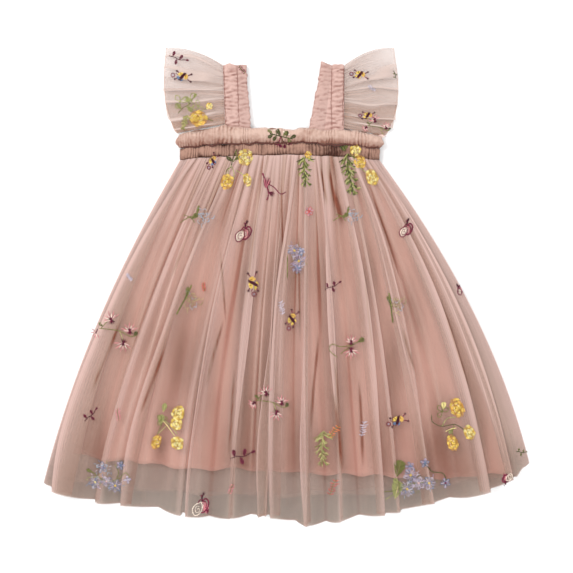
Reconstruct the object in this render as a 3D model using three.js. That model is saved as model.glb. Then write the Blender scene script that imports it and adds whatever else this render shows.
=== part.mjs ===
// A toddler's party dress in gathered net, laid flat with its front up.
// Units are millimetres. +Y points to the neck, +X to the right of the front, and +Z up from the surface under it.
// The skirt is three gathered layers, each with a front and a back: an outer net, a shorter inner net and a lining.
// The bodice is a puffed band above an elastic casing, with two gathered straps and two flutter sleeves.
// Every piece of cloth is a closed wall: a grid of points on its middle surface, moved out to both sides.
import * as THREE from "three";

const GAP = 0.3; // between neighbouring pieces
const { lerp, clamp } = THREE.MathUtils;

// Walls
const NET_WALL = 1.1;
const LINING_WALL = 1.2;
const CASING_WALL = 3.0;
const HEADER_WALL = 2.0;
const STRAP_WALL = 2.2;
const SLEEVE_WALL = 1.0;

// The band, from the skirt seam up to the neck
const WAIST_LEFT = -122;
const WAIST_RIGHT = 107;
const WAIST_Y = 150; // skirt seam at the middle of the front
const WAIST_SAG = 6; // how much lower the seam lies at the sides
const CASING_HEIGHT = 14;
const BAND_SWELL = 5; // how far the puffed band stands out past the casing at each side
const NECK_Y = 180;
const EDGE_POWER = 8; // how square the flattened band's section is at its sides

// The outer net's folds. The first and last rows are its side edges.
// waist: x at the waist seam. x, y: the place at the hem. rise: the height there.
// lean: how far the crest falls over to +X.
const NET_FOLDS = [
  { waist: -123, x: -279, y: -226, rise: 0, lean: 0 },
  { waist: -113, x: -262, y: -237, rise: 1.5, lean: 0 },
  { waist: -103, x: -231, y: -246, rise: 6, lean: -9 },
  { waist: -80, x: -195, y: -251, rise: 4, lean: -5 },
  { waist: -50, x: -163, y: -253, rise: 6, lean: -9 },
  { waist: -42, x: -132, y: -259, rise: 4, lean: 4 },
  { waist: -34, x: -101, y: -267, rise: 6, lean: -8 },
  { waist: -26, x: -77, y: -268, rise: 4, lean: 5 },
  { waist: -17, x: -53, y: -266, rise: 4, lean: -5 },
  { waist: -8, x: -33, y: -263, rise: 5, lean: 7 },
  { waist: 4, x: -16, y: -263, rise: 4, lean: -4 },
  { waist: 13, x: 0, y: -269, rise: 6, lean: -8 },
  { waist: 20, x: 18, y: -274, rise: 4, lean: 4 },
  { waist: 26, x: 36, y: -274, rise: 5, lean: -5 },
  { waist: 34, x: 55, y: -272, rise: 6, lean: 8 },
  { waist: 45, x: 73, y: -265, rise: 5, lean: -6 },
  { waist: 55, x: 93, y: -265, rise: 6, lean: 8 },
  { waist: 63, x: 117, y: -262, rise: 4, lean: 5 },
  { waist: 71, x: 145, y: -256, rise: 6, lean: 8 },
  { waist: 79, x: 174, y: -246, rise: 4, lean: -5 },
  { waist: 88, x: 206, y: -245, rise: 6, lean: 9 },
  { waist: 96, x: 242, y: -232, rise: 4, lean: 5 },
  { waist: 102, x: 264, y: -218, rise: 1.5, lean: 0 },
  { waist: 107, x: 279, y: -203, rise: 0, lean: 0 },
];
const SCALLOP = 1; // how far a crest's hem hangs below the valleys beside it

// The other layers, from the lowest up. inset: how far inside the outer net their sides start at the waist.
// left, right: side edges at the hem. hems: Y of the hem at the left edge, in the middle and at the right edge.
// aboveHem: how far above the outer net's front hem a layer ends that follows it.
const SKIRT_LAYERS = {
  net_back: { wall: NET_WALL, folds: 14, rise: 1.6, inset: 0, left: -277, right: 277, aboveHem: 3 },
  inner_net_back: { wall: NET_WALL, folds: 6, rise: 0.6, inset: 3, left: -266, right: 261, hems: [-218, -238, -212] },
  lining_back: { wall: LINING_WALL, folds: 5, rise: 0.6, inset: 9, left: -246, right: 245, hems: [-194, -212, -210] },
  lining_front: { wall: LINING_WALL, folds: 6, rise: 1.4, inset: 9, left: -246, right: 245, hems: [-196, -216, -214] },
  inner_net_front: { wall: NET_WALL, folds: 9, rise: 1, inset: 3, left: -266, right: 261, hems: [-222, -242, -216] },
};
const NET_RISE = 6; // the tallest fold of the outer net
const WAIST_TURN = 5.5; // how far in from its side edge a front layer reaches its full height, at the waist
const HEM_TURN = 18; // and at the hem

// Straps: x of the neck edge and of the sleeve seam, at the band and at the shoulder
const SHOULDER_Y = 253.6;
const STRAPS = {
  left: { neckLow: -40.5, neckHigh: -46, seamLow: -70.5, seamHigh: -73 },
  right: { neckLow: 25, neckHigh: 40, seamLow: 66, seamHigh: 66.5 },
};
const STRAP_TURN = 2.6; // radius of the turn over the shoulder
const STRAP_STITCH = 0.44; // where the row of stitching runs, as a share of the width from the neck
const STRAP_GATHERS = 8;

// Sleeves: the lower end and the tip of the free edge, and how far it and the folded top edge bow out
const SLEEVES = {
  left: { lowX: -125, lowY: 175, tipX: -139, tipY: 272, bulge: -9, bow: 6 },
  right: { lowX: 112, lowY: 172.5, tipX: 124, tipY: 272, bulge: 11, bow: 6 },
};
const SLEEVE_PLEATS = 6;
const SLEEVE_RISE = 3;

const PINK_NET = { color: 0xcfa79c, roughness: 0.8 };
const PINK_SATIN = { color: 0xdc9c90, roughness: 0.55 };
const PINK_GATHER = { color: 0xd6a398, roughness: 0.75 };

// One closed wall of cloth round the middle surface pointAt(i, j), for i up to columns and j up to rows.
// upright moves the two faces apart straight along Z, which keeps a flat face flat.
// The first and last rows are cut square to Y, so that they meet the next piece along a seam.
function clothWall(columns, rows, thickness, pointAt, upright = false) {
  const middle = [];
  for (let j = 0; j <= rows; j++) for (let i = 0; i <= columns; i++) middle.push(pointAt(i, j));
  const at = (i, j) => middle[clamp(j, 0, rows) * (columns + 1) + clamp(i, 0, columns)];
  const normalAt = (i, j) => {
    if (upright) return new THREE.Vector3(0, 0, 1);
    const along = at(i + 1, j).clone().sub(at(i - 1, j));
    const normal = along.cross(at(i, j + 1).clone().sub(at(i, j - 1)));
    if (j === 0 || j === rows) normal.y = 0;
    return normal.normalize();
  };
  const positions = [];
  for (const side of [0.5, -0.5])
    for (let j = 0; j <= rows; j++)
      for (let i = 0; i <= columns; i++)
        positions.push(...at(i, j).clone().addScaledVector(normalAt(i, j), side * thickness));
  const far = middle.length;
  const index = [];
  const quad = (a, b, c, d) => index.push(a, b, c, a, c, d);
  const id = (i, j) => j * (columns + 1) + i;
  for (let j = 0; j < rows; j++)
    for (let i = 0; i < columns; i++) {
      const [a, b, c, d] = [id(i, j), id(i + 1, j), id(i + 1, j + 1), id(i, j + 1)];
      quad(a, b, c, d);
      quad(far + d, far + c, far + b, far + a);
    }
  for (let i = 0; i < columns; i++) {
    quad(id(i + 1, 0), id(i, 0), far + id(i, 0), far + id(i + 1, 0));
    quad(id(i, rows), id(i + 1, rows), far + id(i + 1, rows), far + id(i, rows));
  }
  for (let j = 0; j < rows; j++) {
    quad(id(0, j), id(0, j + 1), far + id(0, j + 1), far + id(0, j));
    quad(id(columns, j + 1), id(columns, j), far + id(columns, j), far + id(columns, j + 1));
  }
  const geometry = new THREE.BufferGeometry();
  geometry.setAttribute("position", new THREE.Float32BufferAttribute(positions, 3));
  geometry.setIndex(facesOut(positions, index));
  return geometry;
}

// The same triangles, each turned round if the closed surface they make is inside out.
function facesOut(positions, index) {
  const corner = (n) => new THREE.Vector3().fromArray(positions, 3 * n);
  let volume = 0;
  for (let n = 0; n < index.length; n += 3)
    volume += corner(index[n]).dot(corner(index[n + 1]).cross(corner(index[n + 2])));
  return volume > 0 ? index : index.reverse();
}

function piece(name, geometry, material) {
  const mesh = new THREE.Mesh(geometry, new THREE.MeshStandardMaterial({ metalness: 0, ...material }));
  mesh.name = name;
  return mesh;
}

// The band's lower seam, where the skirt hangs from the casing
const waistMiddle = (WAIST_LEFT + WAIST_RIGHT) / 2;
const waistHalf = (WAIST_RIGHT - WAIST_LEFT) / 2;
const waistY = (x) => WAIST_Y - WAIST_SAG * ((x - waistMiddle) / waistHalf) ** 2;

// The skirt flares fastest at the waist, a little more so on the right (side 1) than on the left (side 0).
const flare = (t, side) => t + lerp(0.4, 0.5, side) * t * (1 - t);
// Folds are flat at the waist seam and grow down the skirt.
const growth = (t) => 0.12 + 0.88 * (1 - (1 - t) ** 3);

// How high each skirt layer lies over the surface where the stack is full, from the lowest up
const stack = [...Object.entries(SKIRT_LAYERS), ["net_front", { wall: NET_WALL, rise: NET_RISE }]];
function levelOf(name, t) {
  let level = 0;
  for (const [other, { wall, rise }] of stack) {
    if (other === name) return level;
    level += rise * growth(t) + wall + GAP;
  }
  throw new Error("no skirt layer is named " + name);
}

// The underside of a layer, at a distance in from its nearer side edge.
// A front layer comes down at its sides to lie on its own back.
function layerBase(name, inward, t) {
  const full = levelOf(name, t);
  if (!name.endsWith("_front")) return full;
  const back = name.replace("_front", "_back");
  const seam = levelOf(back, t) + SKIRT_LAYERS[back].wall + GAP;
  const turn = lerp(WAIST_TURN, HEM_TURN, t);
  return lerp(seam, full, Math.sqrt(1 - (1 - clamp(inward / turn, 0, 1)) ** 2));
}

// Y of the front hem of the outer net at x
function netHemY(x) {
  const next = Math.max(1, NET_FOLDS.findIndex((fold) => fold.x >= x));
  const [before, after] = [NET_FOLDS[next - 1], NET_FOLDS[next]];
  return lerp(before.y, after.y, (x - before.x) / (after.x - before.x));
}

// Evenly spread folds for a layer whose hem is a plain curve, as rows like those of NET_FOLDS
function evenFolds({ folds, rise, inset, left, right, hems, aboveHem }) {
  const hemY = (share, x) => {
    if (!hems) return netHemY(x) + aboveHem;
    const [hemLeft, hemMiddle, hemRight] = hems;
    const q = 2 * share - 1;
    return hemMiddle + ((hemRight - hemLeft) / 2) * q + ((hemRight + hemLeft) / 2 - hemMiddle) * q * q;
  };
  return Array.from({ length: folds + 2 }, (_, row) => {
    const share = row / (folds + 1);
    const x = lerp(left, right, share);
    return {
      waist: lerp(WAIST_LEFT + inset, WAIST_RIGHT - inset, share),
      x,
      y: hemY(share, x),
      rise: row === 0 || row === folds + 1 ? 0 : rise,
      lean: 0,
    };
  });
}

// One skirt panel. Its columns run along the folds, with steps columns from each fold to the next.
// A front's folds are waves. A back lies flat on its valleys, with narrow folds between them.
function skirtPanel(name, wall, table, steps, rows) {
  const last = table.length - 1;
  const front = name.endsWith("_front");
  const scallop = name === "net_front" ? SCALLOP : 0;
  const mix = (s, key) => {
    const row = Math.min(Math.floor(s), last - 1);
    return lerp(table[row][key], table[row + 1][key], s - row);
  };
  const spread = (s, t) => lerp(mix(s, "waist"), mix(s, "x"), flare(t, s / last));
  const pointAt = (i, j) => {
    const s = i / steps;
    const t = j / rows;
    const wave = Math.cos(2 * Math.PI * s);
    const crest = front ? 0.5 + 0.5 * wave : Math.max(0, wave);
    const x = spread(s, t);
    const inward = Math.min(x - spread(0, t), spread(last, t) - x);
    const hemY = mix(s, "y") - scallop * crest;
    return new THREE.Vector3(
      x + mix(s, "lean") * growth(t) * crest,
      lerp(waistY(mix(s, "waist")) - GAP, hemY, t),
      layerBase(name, inward, t) + wall / 2 + mix(s, "rise") * growth(t) * crest,
    );
  };
  return clothWall(last * steps, rows, wall, pointAt, !front);
}

// The band's side edges at height share v of one of its strips
const bandEdge = (side, swell, v) => side + Math.sign(side) * swell * Math.sin(Math.PI * v);
// A flattened tube's section, from 1 in the middle to 0 at its side edges, for q from -1 to 1
const section = (q) => (1 - Math.min(Math.abs(q), 1) ** EDGE_POWER) ** (1 / EDGE_POWER);

// The top edge of the puffed band, higher where the straps leave it
function bandTop(x) {
  const points = [
    { x: WAIST_LEFT - BAND_SWELL, y: 171 },
    { x: -119, y: 173.5 },
    { x: STRAPS.left.seamLow, y: 185 },
    { x: STRAPS.left.neckLow, y: NECK_Y },
    { x: STRAPS.right.neckLow, y: NECK_Y },
    { x: STRAPS.right.seamLow, y: 180 },
    { x: 108, y: 172 },
    { x: WAIST_RIGHT + BAND_SWELL, y: 168 },
  ];
  const next = clamp(points.findIndex((p) => p.x > x), 1, points.length - 1);
  const [a, b] = [points[next - 1], points[next]];
  return lerp(a.y, b.y, clamp((x - a.x) / (b.x - a.x), 0, 1));
}

// A strip of the band, gathered into upright ripples. low and high give its lower and upper edges,
// and heightAt the middle surface where the band is full, from its lower edge (0) to its upper edge (1).
function bandStrip({ wall, columns, rows, gathers, depth, swell, low, high, heightAt, front }) {
  const seam = front ? wall * 1.5 + GAP : wall / 2;
  const pointAt = (i, j) => {
    const v = j / rows;
    const left = bandEdge(WAIST_LEFT, swell, v);
    const right = bandEdge(WAIST_RIGHT, swell, v);
    const x = lerp(left, right, i / columns);
    const q = (2 * i) / columns - 1;
    const ripple = front ? depth * (0.5 + 0.5 * Math.cos(2 * Math.PI * gathers * (i / columns))) * section(q) : 0;
    return new THREE.Vector3(x, lerp(low(x), high(x), v), lerp(seam, heightAt(v), section(q)) + ripple);
  };
  return clothWall(columns, rows, wall, pointAt, !front);
}

const casingLow = (x) => waistY(x);
const casingHigh = (x) => waistY(x) + CASING_HEIGHT;
const headerLow = (x) => casingHigh(x) + GAP;

function band() {
  const casing = { wall: CASING_WALL, low: casingLow, high: casingHigh, swell: 0, rows: 2 };
  const header = { wall: HEADER_WALL, low: headerLow, high: bandTop, swell: BAND_SWELL };
  const casingFront = { ...casing, columns: 96, gathers: 24, depth: 0.9, front: true };
  const headerFront = { ...header, columns: 84, rows: 4, gathers: 21, depth: 1, front: true };
  return [
    piece("waist_casing_back", bandStrip({ ...casing, columns: 24, heightAt: () => CASING_WALL / 2 }), PINK_GATHER),
    piece("waist_casing_front", bandStrip({ ...casingFront, heightAt: (v) => 7 + Math.sin(Math.PI * v) }), PINK_GATHER),
    piece("bodice_band_back", bandStrip({ ...header, columns: 24, rows: 3, heightAt: () => HEADER_WALL / 2 }), PINK_GATHER),
    piece("bodice_band_front", bandStrip({ ...headerFront, heightAt: puffHeight }), PINK_GATHER),
  ];
}

// The puffed band swells out over the casing seam and comes back in to the neck edge.
function puffHeight(v) {
  return lerp(8, 6.3, v) + 4 * Math.sin(Math.PI * v) ** 0.7;
}

// Stations along a strip that runs up the front, turns over and runs down the back.
// up: from 0 at the band to 1 at the turn. side: 1 on the front and -1 on the back. over: how far past the turn's axis.
function turnedStrip(straightSteps, turnSteps) {
  const stations = [];
  for (let n = 0; n < straightSteps; n++) stations.push({ up: n / straightSteps, side: 1, over: 0 });
  for (let n = 0; n <= turnSteps; n++) {
    const angle = (Math.PI * n) / turnSteps;
    stations.push({ up: 1, side: Math.cos(angle), over: Math.sin(angle) });
  }
  for (let n = straightSteps - 1; n >= 0; n--) stations.push({ up: n / straightSteps, side: -1, over: 0 });
  return stations;
}

// A strap: a thin frill at the neck edge, a row of stitching, and a fuller elastic casing beside the sleeve
function strap({ neckLow, neckHigh, seamLow, seamHigh }) {
  const stations = turnedStrip(16, 4);
  const columns = 6;
  const turnY = SHOULDER_Y - STRAP_WALL / 2 - STRAP_TURN;
  const pointAt = (i, j) => {
    const { up, side, over } = stations[j];
    const share = [0, 0.22, STRAP_STITCH, 0.58, 0.72, 0.86, 1][i];
    const neckX = lerp(neckLow, neckHigh, up);
    const seamX = lerp(seamLow, seamHigh, up);
    const x = lerp(neckX, seamX, share);
    const frill = share < STRAP_STITCH;
    const swell = frill ? share / STRAP_STITCH : (share - STRAP_STITCH) / (1 - STRAP_STITCH);
    const puff = (frill ? 0.5 : 1.5) * Math.sin(Math.PI * swell);
    const gather = (frill ? 0.4 : 0.7) * Math.cos(2 * Math.PI * STRAP_GATHERS * up);
    const relief = (puff + gather) * Math.max(0, side) * (up < 1 ? 1 : 0);
    return new THREE.Vector3(
      x,
      lerp(bandTop(x) + 2 * GAP, turnY, up) + over * STRAP_TURN,
      STRAP_WALL / 2 + STRAP_TURN * (1 + side) + relief,
    );
  };
  return clothWall(columns, stations.length - 1, STRAP_WALL, pointAt);
}

// A flutter sleeve: a strip gathered along the strap, folded over at the shoulder, and full at its free edge
function sleeve({ lowX, lowY, tipX, tipY, bulge, bow }, { seamLow, seamHigh }) {
  const stations = turnedStrip(18, 4);
  const columns = 4;
  const outward = Math.sign(tipX);
  const turnY = SHOULDER_Y - SLEEVE_WALL / 2 - STRAP_TURN;
  const pointAt = (i, j) => {
    const { up, side, over } = stations[j];
    const out = i / columns;
    const seamX = lerp(seamLow, seamHigh, up) + outward * GAP;
    const seamY = lerp(bandTop(seamX) + GAP, turnY, up);
    const freeX = lerp(lowX, tipX, up) + bulge * Math.sin(Math.PI * up ** 0.75);
    const freeY = lerp(lowY, tipY, up);
    const radius = lerp(STRAP_TURN, 1.2, out);
    const pleat = 0.5 - 0.5 * Math.cos(2 * Math.PI * SLEEVE_PLEATS * up);
    const rise = side > 0 ? lerp(0.8, SLEEVE_RISE, out) * pleat * side : 0;
    return new THREE.Vector3(
      lerp(seamX, freeX, out),
      lerp(seamY, freeY, out) + bow * 4 * out * (1 - out) * up ** 3 + over * radius,
      SLEEVE_WALL / 2 + radius * (1 + side) + rise,
    );
  };
  return clothWall(columns, stations.length - 1, SLEEVE_WALL, pointAt);
}

function skirt() {
  // columns from a fold to the next, and rows from the waist to the hem
  const grids = {
    net_back: [4, 4],
    inner_net_back: [3, 3],
    lining_back: [3, 3],
    lining_front: [5, 5],
    inner_net_front: [4, 5],
  };
  const layers = Object.entries(SKIRT_LAYERS).map(([name, layer]) => {
    const material = name.startsWith("lining") ? PINK_SATIN : PINK_NET;
    return piece(name, skirtPanel(name, layer.wall, evenFolds(layer), ...grids[name]), material);
  });
  return [...layers, piece("net_front", skirtPanel("net_front", NET_WALL, NET_FOLDS, 5, 8), PINK_NET)];
}

const dress = new THREE.Group();
dress.add(...skirt(), ...band());
for (const side of ["left", "right"]) {
  dress.add(piece("strap_" + side, strap(STRAPS[side]), PINK_GATHER));
  dress.add(piece("sleeve_" + side, sleeve(SLEEVES[side], STRAPS[side]), PINK_NET));
}

export default dress;
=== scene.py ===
"""A toddler's party dress in embroidered net over a lining, laid flat with its front up.

Sizes are in millimetres in the part's own frame: +Y to the neck, +X to the right of the front, +Z up from
the surface under the dress. Meshes are stored in metres.
"""
import math

import bpy
import numpy as np
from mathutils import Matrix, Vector
from mathutils.bvhtree import BVHTree


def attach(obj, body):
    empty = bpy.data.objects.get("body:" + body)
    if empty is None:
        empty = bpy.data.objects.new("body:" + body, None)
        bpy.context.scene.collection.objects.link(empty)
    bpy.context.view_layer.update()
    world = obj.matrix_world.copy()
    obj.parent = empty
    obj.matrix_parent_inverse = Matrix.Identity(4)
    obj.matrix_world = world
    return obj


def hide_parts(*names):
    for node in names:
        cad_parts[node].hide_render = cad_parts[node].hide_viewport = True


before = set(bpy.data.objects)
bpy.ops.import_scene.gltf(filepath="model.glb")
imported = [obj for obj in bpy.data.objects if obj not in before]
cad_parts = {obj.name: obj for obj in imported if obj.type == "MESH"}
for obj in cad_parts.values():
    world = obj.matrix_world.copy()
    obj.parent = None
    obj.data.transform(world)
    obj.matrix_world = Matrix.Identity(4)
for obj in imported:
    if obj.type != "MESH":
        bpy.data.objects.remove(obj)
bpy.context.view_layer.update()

GAP = 0.3 # the air between two layers
METRES = 0.001 # a millimetre in metres
TAU = 2 * math.pi

# The band, from the skirt seam up to the neck
WAIST_LEFT = -122.5
WAIST_RIGHT = 107.0
WAIST_Y = 150.0
WAIST_SAG = 6.0
CASING_HEIGHT = 14.0
BAND_SWELL = 5.0
NECK_Y = 180.0
BAND_EDGE_POWER = 8
BAND_TOP = [
    {"x": -127.5, "y": 171.0},
    {"x": -119.0, "y": 174.0},
    {"x": -70.5, "y": 185.0},
    {"x": -40.5, "y": 180.0},
    {"x": 25.0, "y": 180.0},
    {"x": 66.0, "y": 180.0},
    {"x": 108.0, "y": 172.5},
    {"x": 114.0, "y": 168.0},
]

# The outer net's folds: where each leaves the waist, where it ends at the hem, its height and its lean there
NET_FOLDS = [
    {"waist": -122.5, "x": -279, "y": -226, "rise": 0, "lean": 0},
    {"waist": -113, "x": -262, "y": -237, "rise": 1.5, "lean": 0},
    {"waist": -103, "x": -231, "y": -246, "rise": 6, "lean": -16},
    {"waist": -80, "x": -195, "y": -251, "rise": 4, "lean": -10},
    {"waist": -50, "x": -163, "y": -253, "rise": 6, "lean": -19},
    {"waist": -42, "x": -132, "y": -259, "rise": 4, "lean": 9},
    {"waist": -34, "x": -101, "y": -267, "rise": 6, "lean": -17},
    {"waist": -26, "x": -77, "y": -268, "rise": 4, "lean": 9},
    {"waist": -17, "x": -53, "y": -266, "rise": 4, "lean": -11},
    {"waist": -8, "x": -33, "y": -263, "rise": 5, "lean": 12},
    {"waist": 4, "x": -16, "y": -263, "rise": 4, "lean": -8},
    {"waist": 13, "x": 0, "y": -269, "rise": 6, "lean": -14},
    {"waist": 20, "x": 18, "y": -274, "rise": 4, "lean": 7},
    {"waist": 26, "x": 36, "y": -274, "rise": 5, "lean": -9},
    {"waist": 34, "x": 55, "y": -272, "rise": 6, "lean": 13},
    {"waist": 45, "x": 73, "y": -265, "rise": 5, "lean": -10},
    {"waist": 55, "x": 93, "y": -265, "rise": 6, "lean": 15},
    {"waist": 63, "x": 117, "y": -262, "rise": 4, "lean": 10},
    {"waist": 71, "x": 145, "y": -256, "rise": 6, "lean": 16},
    {"waist": 79, "x": 174, "y": -246, "rise": 4, "lean": -10},
    {"waist": 88, "x": 206, "y": -245, "rise": 6, "lean": 19},
    {"waist": 96, "x": 242, "y": -232, "rise": 4, "lean": 12},
    {"waist": 102, "x": 264, "y": -218, "rise": 1.5, "lean": 0},
    {"waist": 107, "x": 279, "y": -203, "rise": 0, "lean": 0},
]

# The other layers of the skirt, from the lowest up.
# inset: how far inside the net's sides they start. left, right: the sides at the hem.
# hems: Y at the left, in the middle and at the right.
SKIRT_LAYERS = {
    "net_back": {"wall": 1.1, "folds": 14, "rise": 1.6, "inset": 0, "left": -279, "right": 279},
    "inner_net_back": {"wall": 1.1, "folds": 6, "rise": 0.6, "inset": 3, "left": -266, "right": 261,
                       "hems": (-218, -238, -212)},
    "lining_back": {"wall": 1.2, "folds": 5, "rise": 0.6, "inset": 9, "left": -246, "right": 245,
                    "hems": (-194, -212, -210)},
    "lining_front": {"wall": 1.2, "folds": 11, "rise": 2.6, "inset": 9, "left": -246, "right": 251,
                     "hems": (-196, -216, -219)},
    "inner_net_front": {"wall": 1.1, "folds": 15, "rise": 1.4, "inset": 3, "left": -266, "right": 261,
                        "hems": (-222, -242, -216)},
}
STACK = {**SKIRT_LAYERS, "net_front": {"wall": 1.1, "rise": 6}}
SIDE_LAYERS = (70, 120) # how far in from the left and right side, at the hem, the net lies in more layers
HEM_LOBE = 6.5 # how much lower the hem hangs on a fold than between two folds
HEM_COVER = 0.45 # how much the net's very edge hides
LINING_LOBE = 4.0
WAIST_TURN = 5.5 # how far in from its side a front layer reaches its full height, at the waist
HEM_TURN = 18.0 # and at the hem
SKIRT_DROP = 0.42 # the length of each skirt layer's cut, in metres
LINING_HEM = 14
FULL_COVER = 0.97 # no net hides more than this

SHOULDER_Y = 253.6
STRAPS = {
    "left": {"neck_low": -40.5, "neck_high": -46.0, "seam_low": -70.5, "seam_high": -73.0,
             "stitch_low": 0.46, "stitch_high": 0.4, "corner": 0.6},
    "right": {"neck_low": 25.0, "neck_high": 40.0, "seam_low": 66.0, "seam_high": 66.5,
              "stitch_low": 0.66, "stitch_high": 0.46, "corner": 4.6},
}
STRAP_TURN = 2.6

SLEEVES = {
    "left": {"low": (-125, 175), "tip": (-139, 272), "bulge": -9, "bow": 6},
    "right": {"low": (112, 172.5), "tip": (124, 272), "bulge": 11, "bow": 6},
}

# The *_shade colours and net_crease_shadow are the dark ends of each cloth's tone ramp. The mesh tone that
# picks between them holds painted shade in hollows, creases and under folds, and painted highlight on fold
# crests, as well as tone that differs at random.
COLOURS = {
    "net": (236, 200, 190),
    "net_shade": (202, 168, 151),
    "net_crease_shadow": (146, 78, 56),
    "back_net": (226, 200, 188),
    "back_net_shade": (164, 153, 143),
    "sleeve_net": (224, 200, 190),
    "sleeve_net_shade": (184, 138, 112),
    "inner_net": (216, 184, 172),
    "inner_net_shade": (196, 160, 148),
    "lining": (238, 180, 164),
    "lining_shade": (142, 82, 62),
    "band": (224, 190, 174),
    "band_shade": (160, 112, 95),
    "strap": (226, 188, 177),
    "strap_shade": (160, 112, 102),
    "casing": (184, 142, 124),
    "casing_shade": (84, 46, 34),
    "seam": (150, 96, 82),
    "seam_shade": (104, 60, 50),
    "stitching": (184, 132, 118),
    "stitching_shade": (148, 96, 84),
}
# How much of what is behind it each net hides where it lies flat
NET_COVER = {
    "net_front": 0.22,
    "net_back": 0.8,
    "inner_net_front": 0.18,
    "inner_net_back": 0.14,
    "sleeve": 0.34,
}
PLEAT_LAP = 2.1 # how much further than its lean a fold of the outer net lies over the next one
PLEAT_LAPS = (
    1.0, 1.0, 1.5, 0.8, 1.2, 1.0, 0.7, 1.3, 1.2, 0.8, 1.5, 0.9,
    0.8, 1.5, 0.7, 1.2, 1.1, 0.8, 1.4, 1.0, 1.2, 0.8, 1.0, 1.0,
)
LIGHT_GAIN = 1.3 # the light is this much over what a white floor needs, and the cloth's colours allow for it
FOLD_NORMAL = 0.55 # how far cloth that scatters light all through it is lit as if it lay flat


# Numbers

def lerp(a, b, share):
    return a + (b - a) * share


def linear(colour):
    """A screen colour of 0 to 255 as the linear values that shaders use."""
    values = [((c / 255 + 0.055) / 1.055) ** 2.4 if c > 10 else c / 255 / 12.92 for c in colour]
    return tuple(value / LIGHT_GAIN for value in values)


def wobble(places, seed):
    """Smooth noise from -1 to 1, with one new value at each whole step of places."""
    values = np.random.default_rng(seed).uniform(-1, 1, 1024)
    low = np.floor(places).astype(int)
    share = places - low
    share = share * share * (3 - 2 * share)
    return lerp(values[low % 1024], values[(low + 1) % 1024], share)


def wobble_field(across, down, seed):
    """Smooth noise over a surface, from -1 to 1."""
    values = np.random.default_rng(seed).uniform(-1, 1, (256, 256))
    column, row = np.floor(across).astype(int), np.floor(down).astype(int)
    x, y = across - column, down - row
    x, y = x * x * (3 - 2 * x), y * y * (3 - 2 * y)
    top = lerp(values[row % 256, column % 256], values[row % 256, (column + 1) % 256], x)
    low = lerp(values[(row + 1) % 256, column % 256], values[(row + 1) % 256, (column + 1) % 256], x)
    return lerp(top, low, y)


def along(table, key, places, soften=0.2):
    """A column of a table at places counted in rows, with its corners rounded off."""
    values = np.array([row[key] for row in table], float)
    last = len(values) - 1
    result = 0
    offsets = np.linspace(-2, 2, 9)
    weights = np.exp(-0.5 * offsets**2)
    for offset, weight in zip(offsets * soften, weights / weights.sum()):
        inside = np.clip(places + offset, 0, last)
        beyond = places + offset - inside
        slope = np.where(beyond < 0, values[1] - values[0], values[-1] - values[-2])
        result = result + weight * (np.interp(inside, np.arange(last + 1), values) + beyond * slope)
    return result


def waist_y(x):
    """Y of the skirt seam, which is the casing's lower edge"""
    middle, half = (WAIST_LEFT + WAIST_RIGHT) / 2, (WAIST_RIGHT - WAIST_LEFT) / 2
    return WAIST_Y - WAIST_SAG * ((x - middle) / half) ** 2 + 0.7 * wobble(x / 7 + 50, 77)


def band_top(x):
    """Y of the neck edge"""
    return np.interp(x, [p["x"] for p in BAND_TOP], [p["y"] for p in BAND_TOP])


# Broad pools of painted light and painted shade on the cloth: X, Y, how far each reaches across and down, and
# the tone
LIGHT_AND_SHADE_POOLS = [
    (-163, -63, 20, 45, -0.22),
    (-125, 46, 20, 40, 0.14),
    (154, -40, 20, 45, -0.2),
    (110, 75, 20, 45, 0.18),
    (-45, -40, 20, 40, 0.08),
    (56, 142, 13, 16, -0.45),
    (56, 156, 16, 7, -0.2),
    (-20, 156, 32, 7, 0.22),
    (-99, 155, 22, 6, 0.2),
    (-97, 168, 24, 8, -0.2),
    (-20, 172, 38, 10, 0.16),
    (150, -185, 60, 36, -0.16),
]


def pool_light_and_shade(points):
    """How much paler or darker each point is painted by the broad pools of light and shade"""
    x, y = points[..., 0], points[..., 1]
    tone = 0 * x
    for x0, y0, across, down, amount in LIGHT_AND_SHADE_POOLS:
        tone = tone + amount * np.exp(-(((x - x0) / across) ** 2) - ((y - y0) / down) ** 2)
    return tone


# Meshes

def normals_of(points):
    across = np.gradient(points, axis=1)
    down = np.gradient(points, axis=0)
    normal = np.cross(down, across)
    return normal / np.maximum(np.linalg.norm(normal, axis=-1, keepdims=True), 1e-9)


def cover_at_slopes(points, cover):
    """How much of what is behind it a net hides from above: more where the net stands on edge."""
    upright = np.clip(np.abs(normals_of(points)[..., 2]), 0.2, 1)
    return 1 - (1 - cover) ** (1 / upright)


def grid_quads(rows, columns, first=0):
    """The faces between rows and columns of points that are numbered from first on."""
    index = np.arange(rows * columns).reshape(rows, columns) + first
    return np.stack([index[:-1, :-1], index[1:, :-1], index[1:, 1:], index[:-1, 1:]], axis=-1).reshape(-1, 4)


def add_piece(name, mesh, material):
    mesh.materials.append(material)
    piece = bpy.data.objects.new(name, mesh)
    bpy.context.collection.objects.link(piece)
    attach(piece, "root")
    return piece


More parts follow.
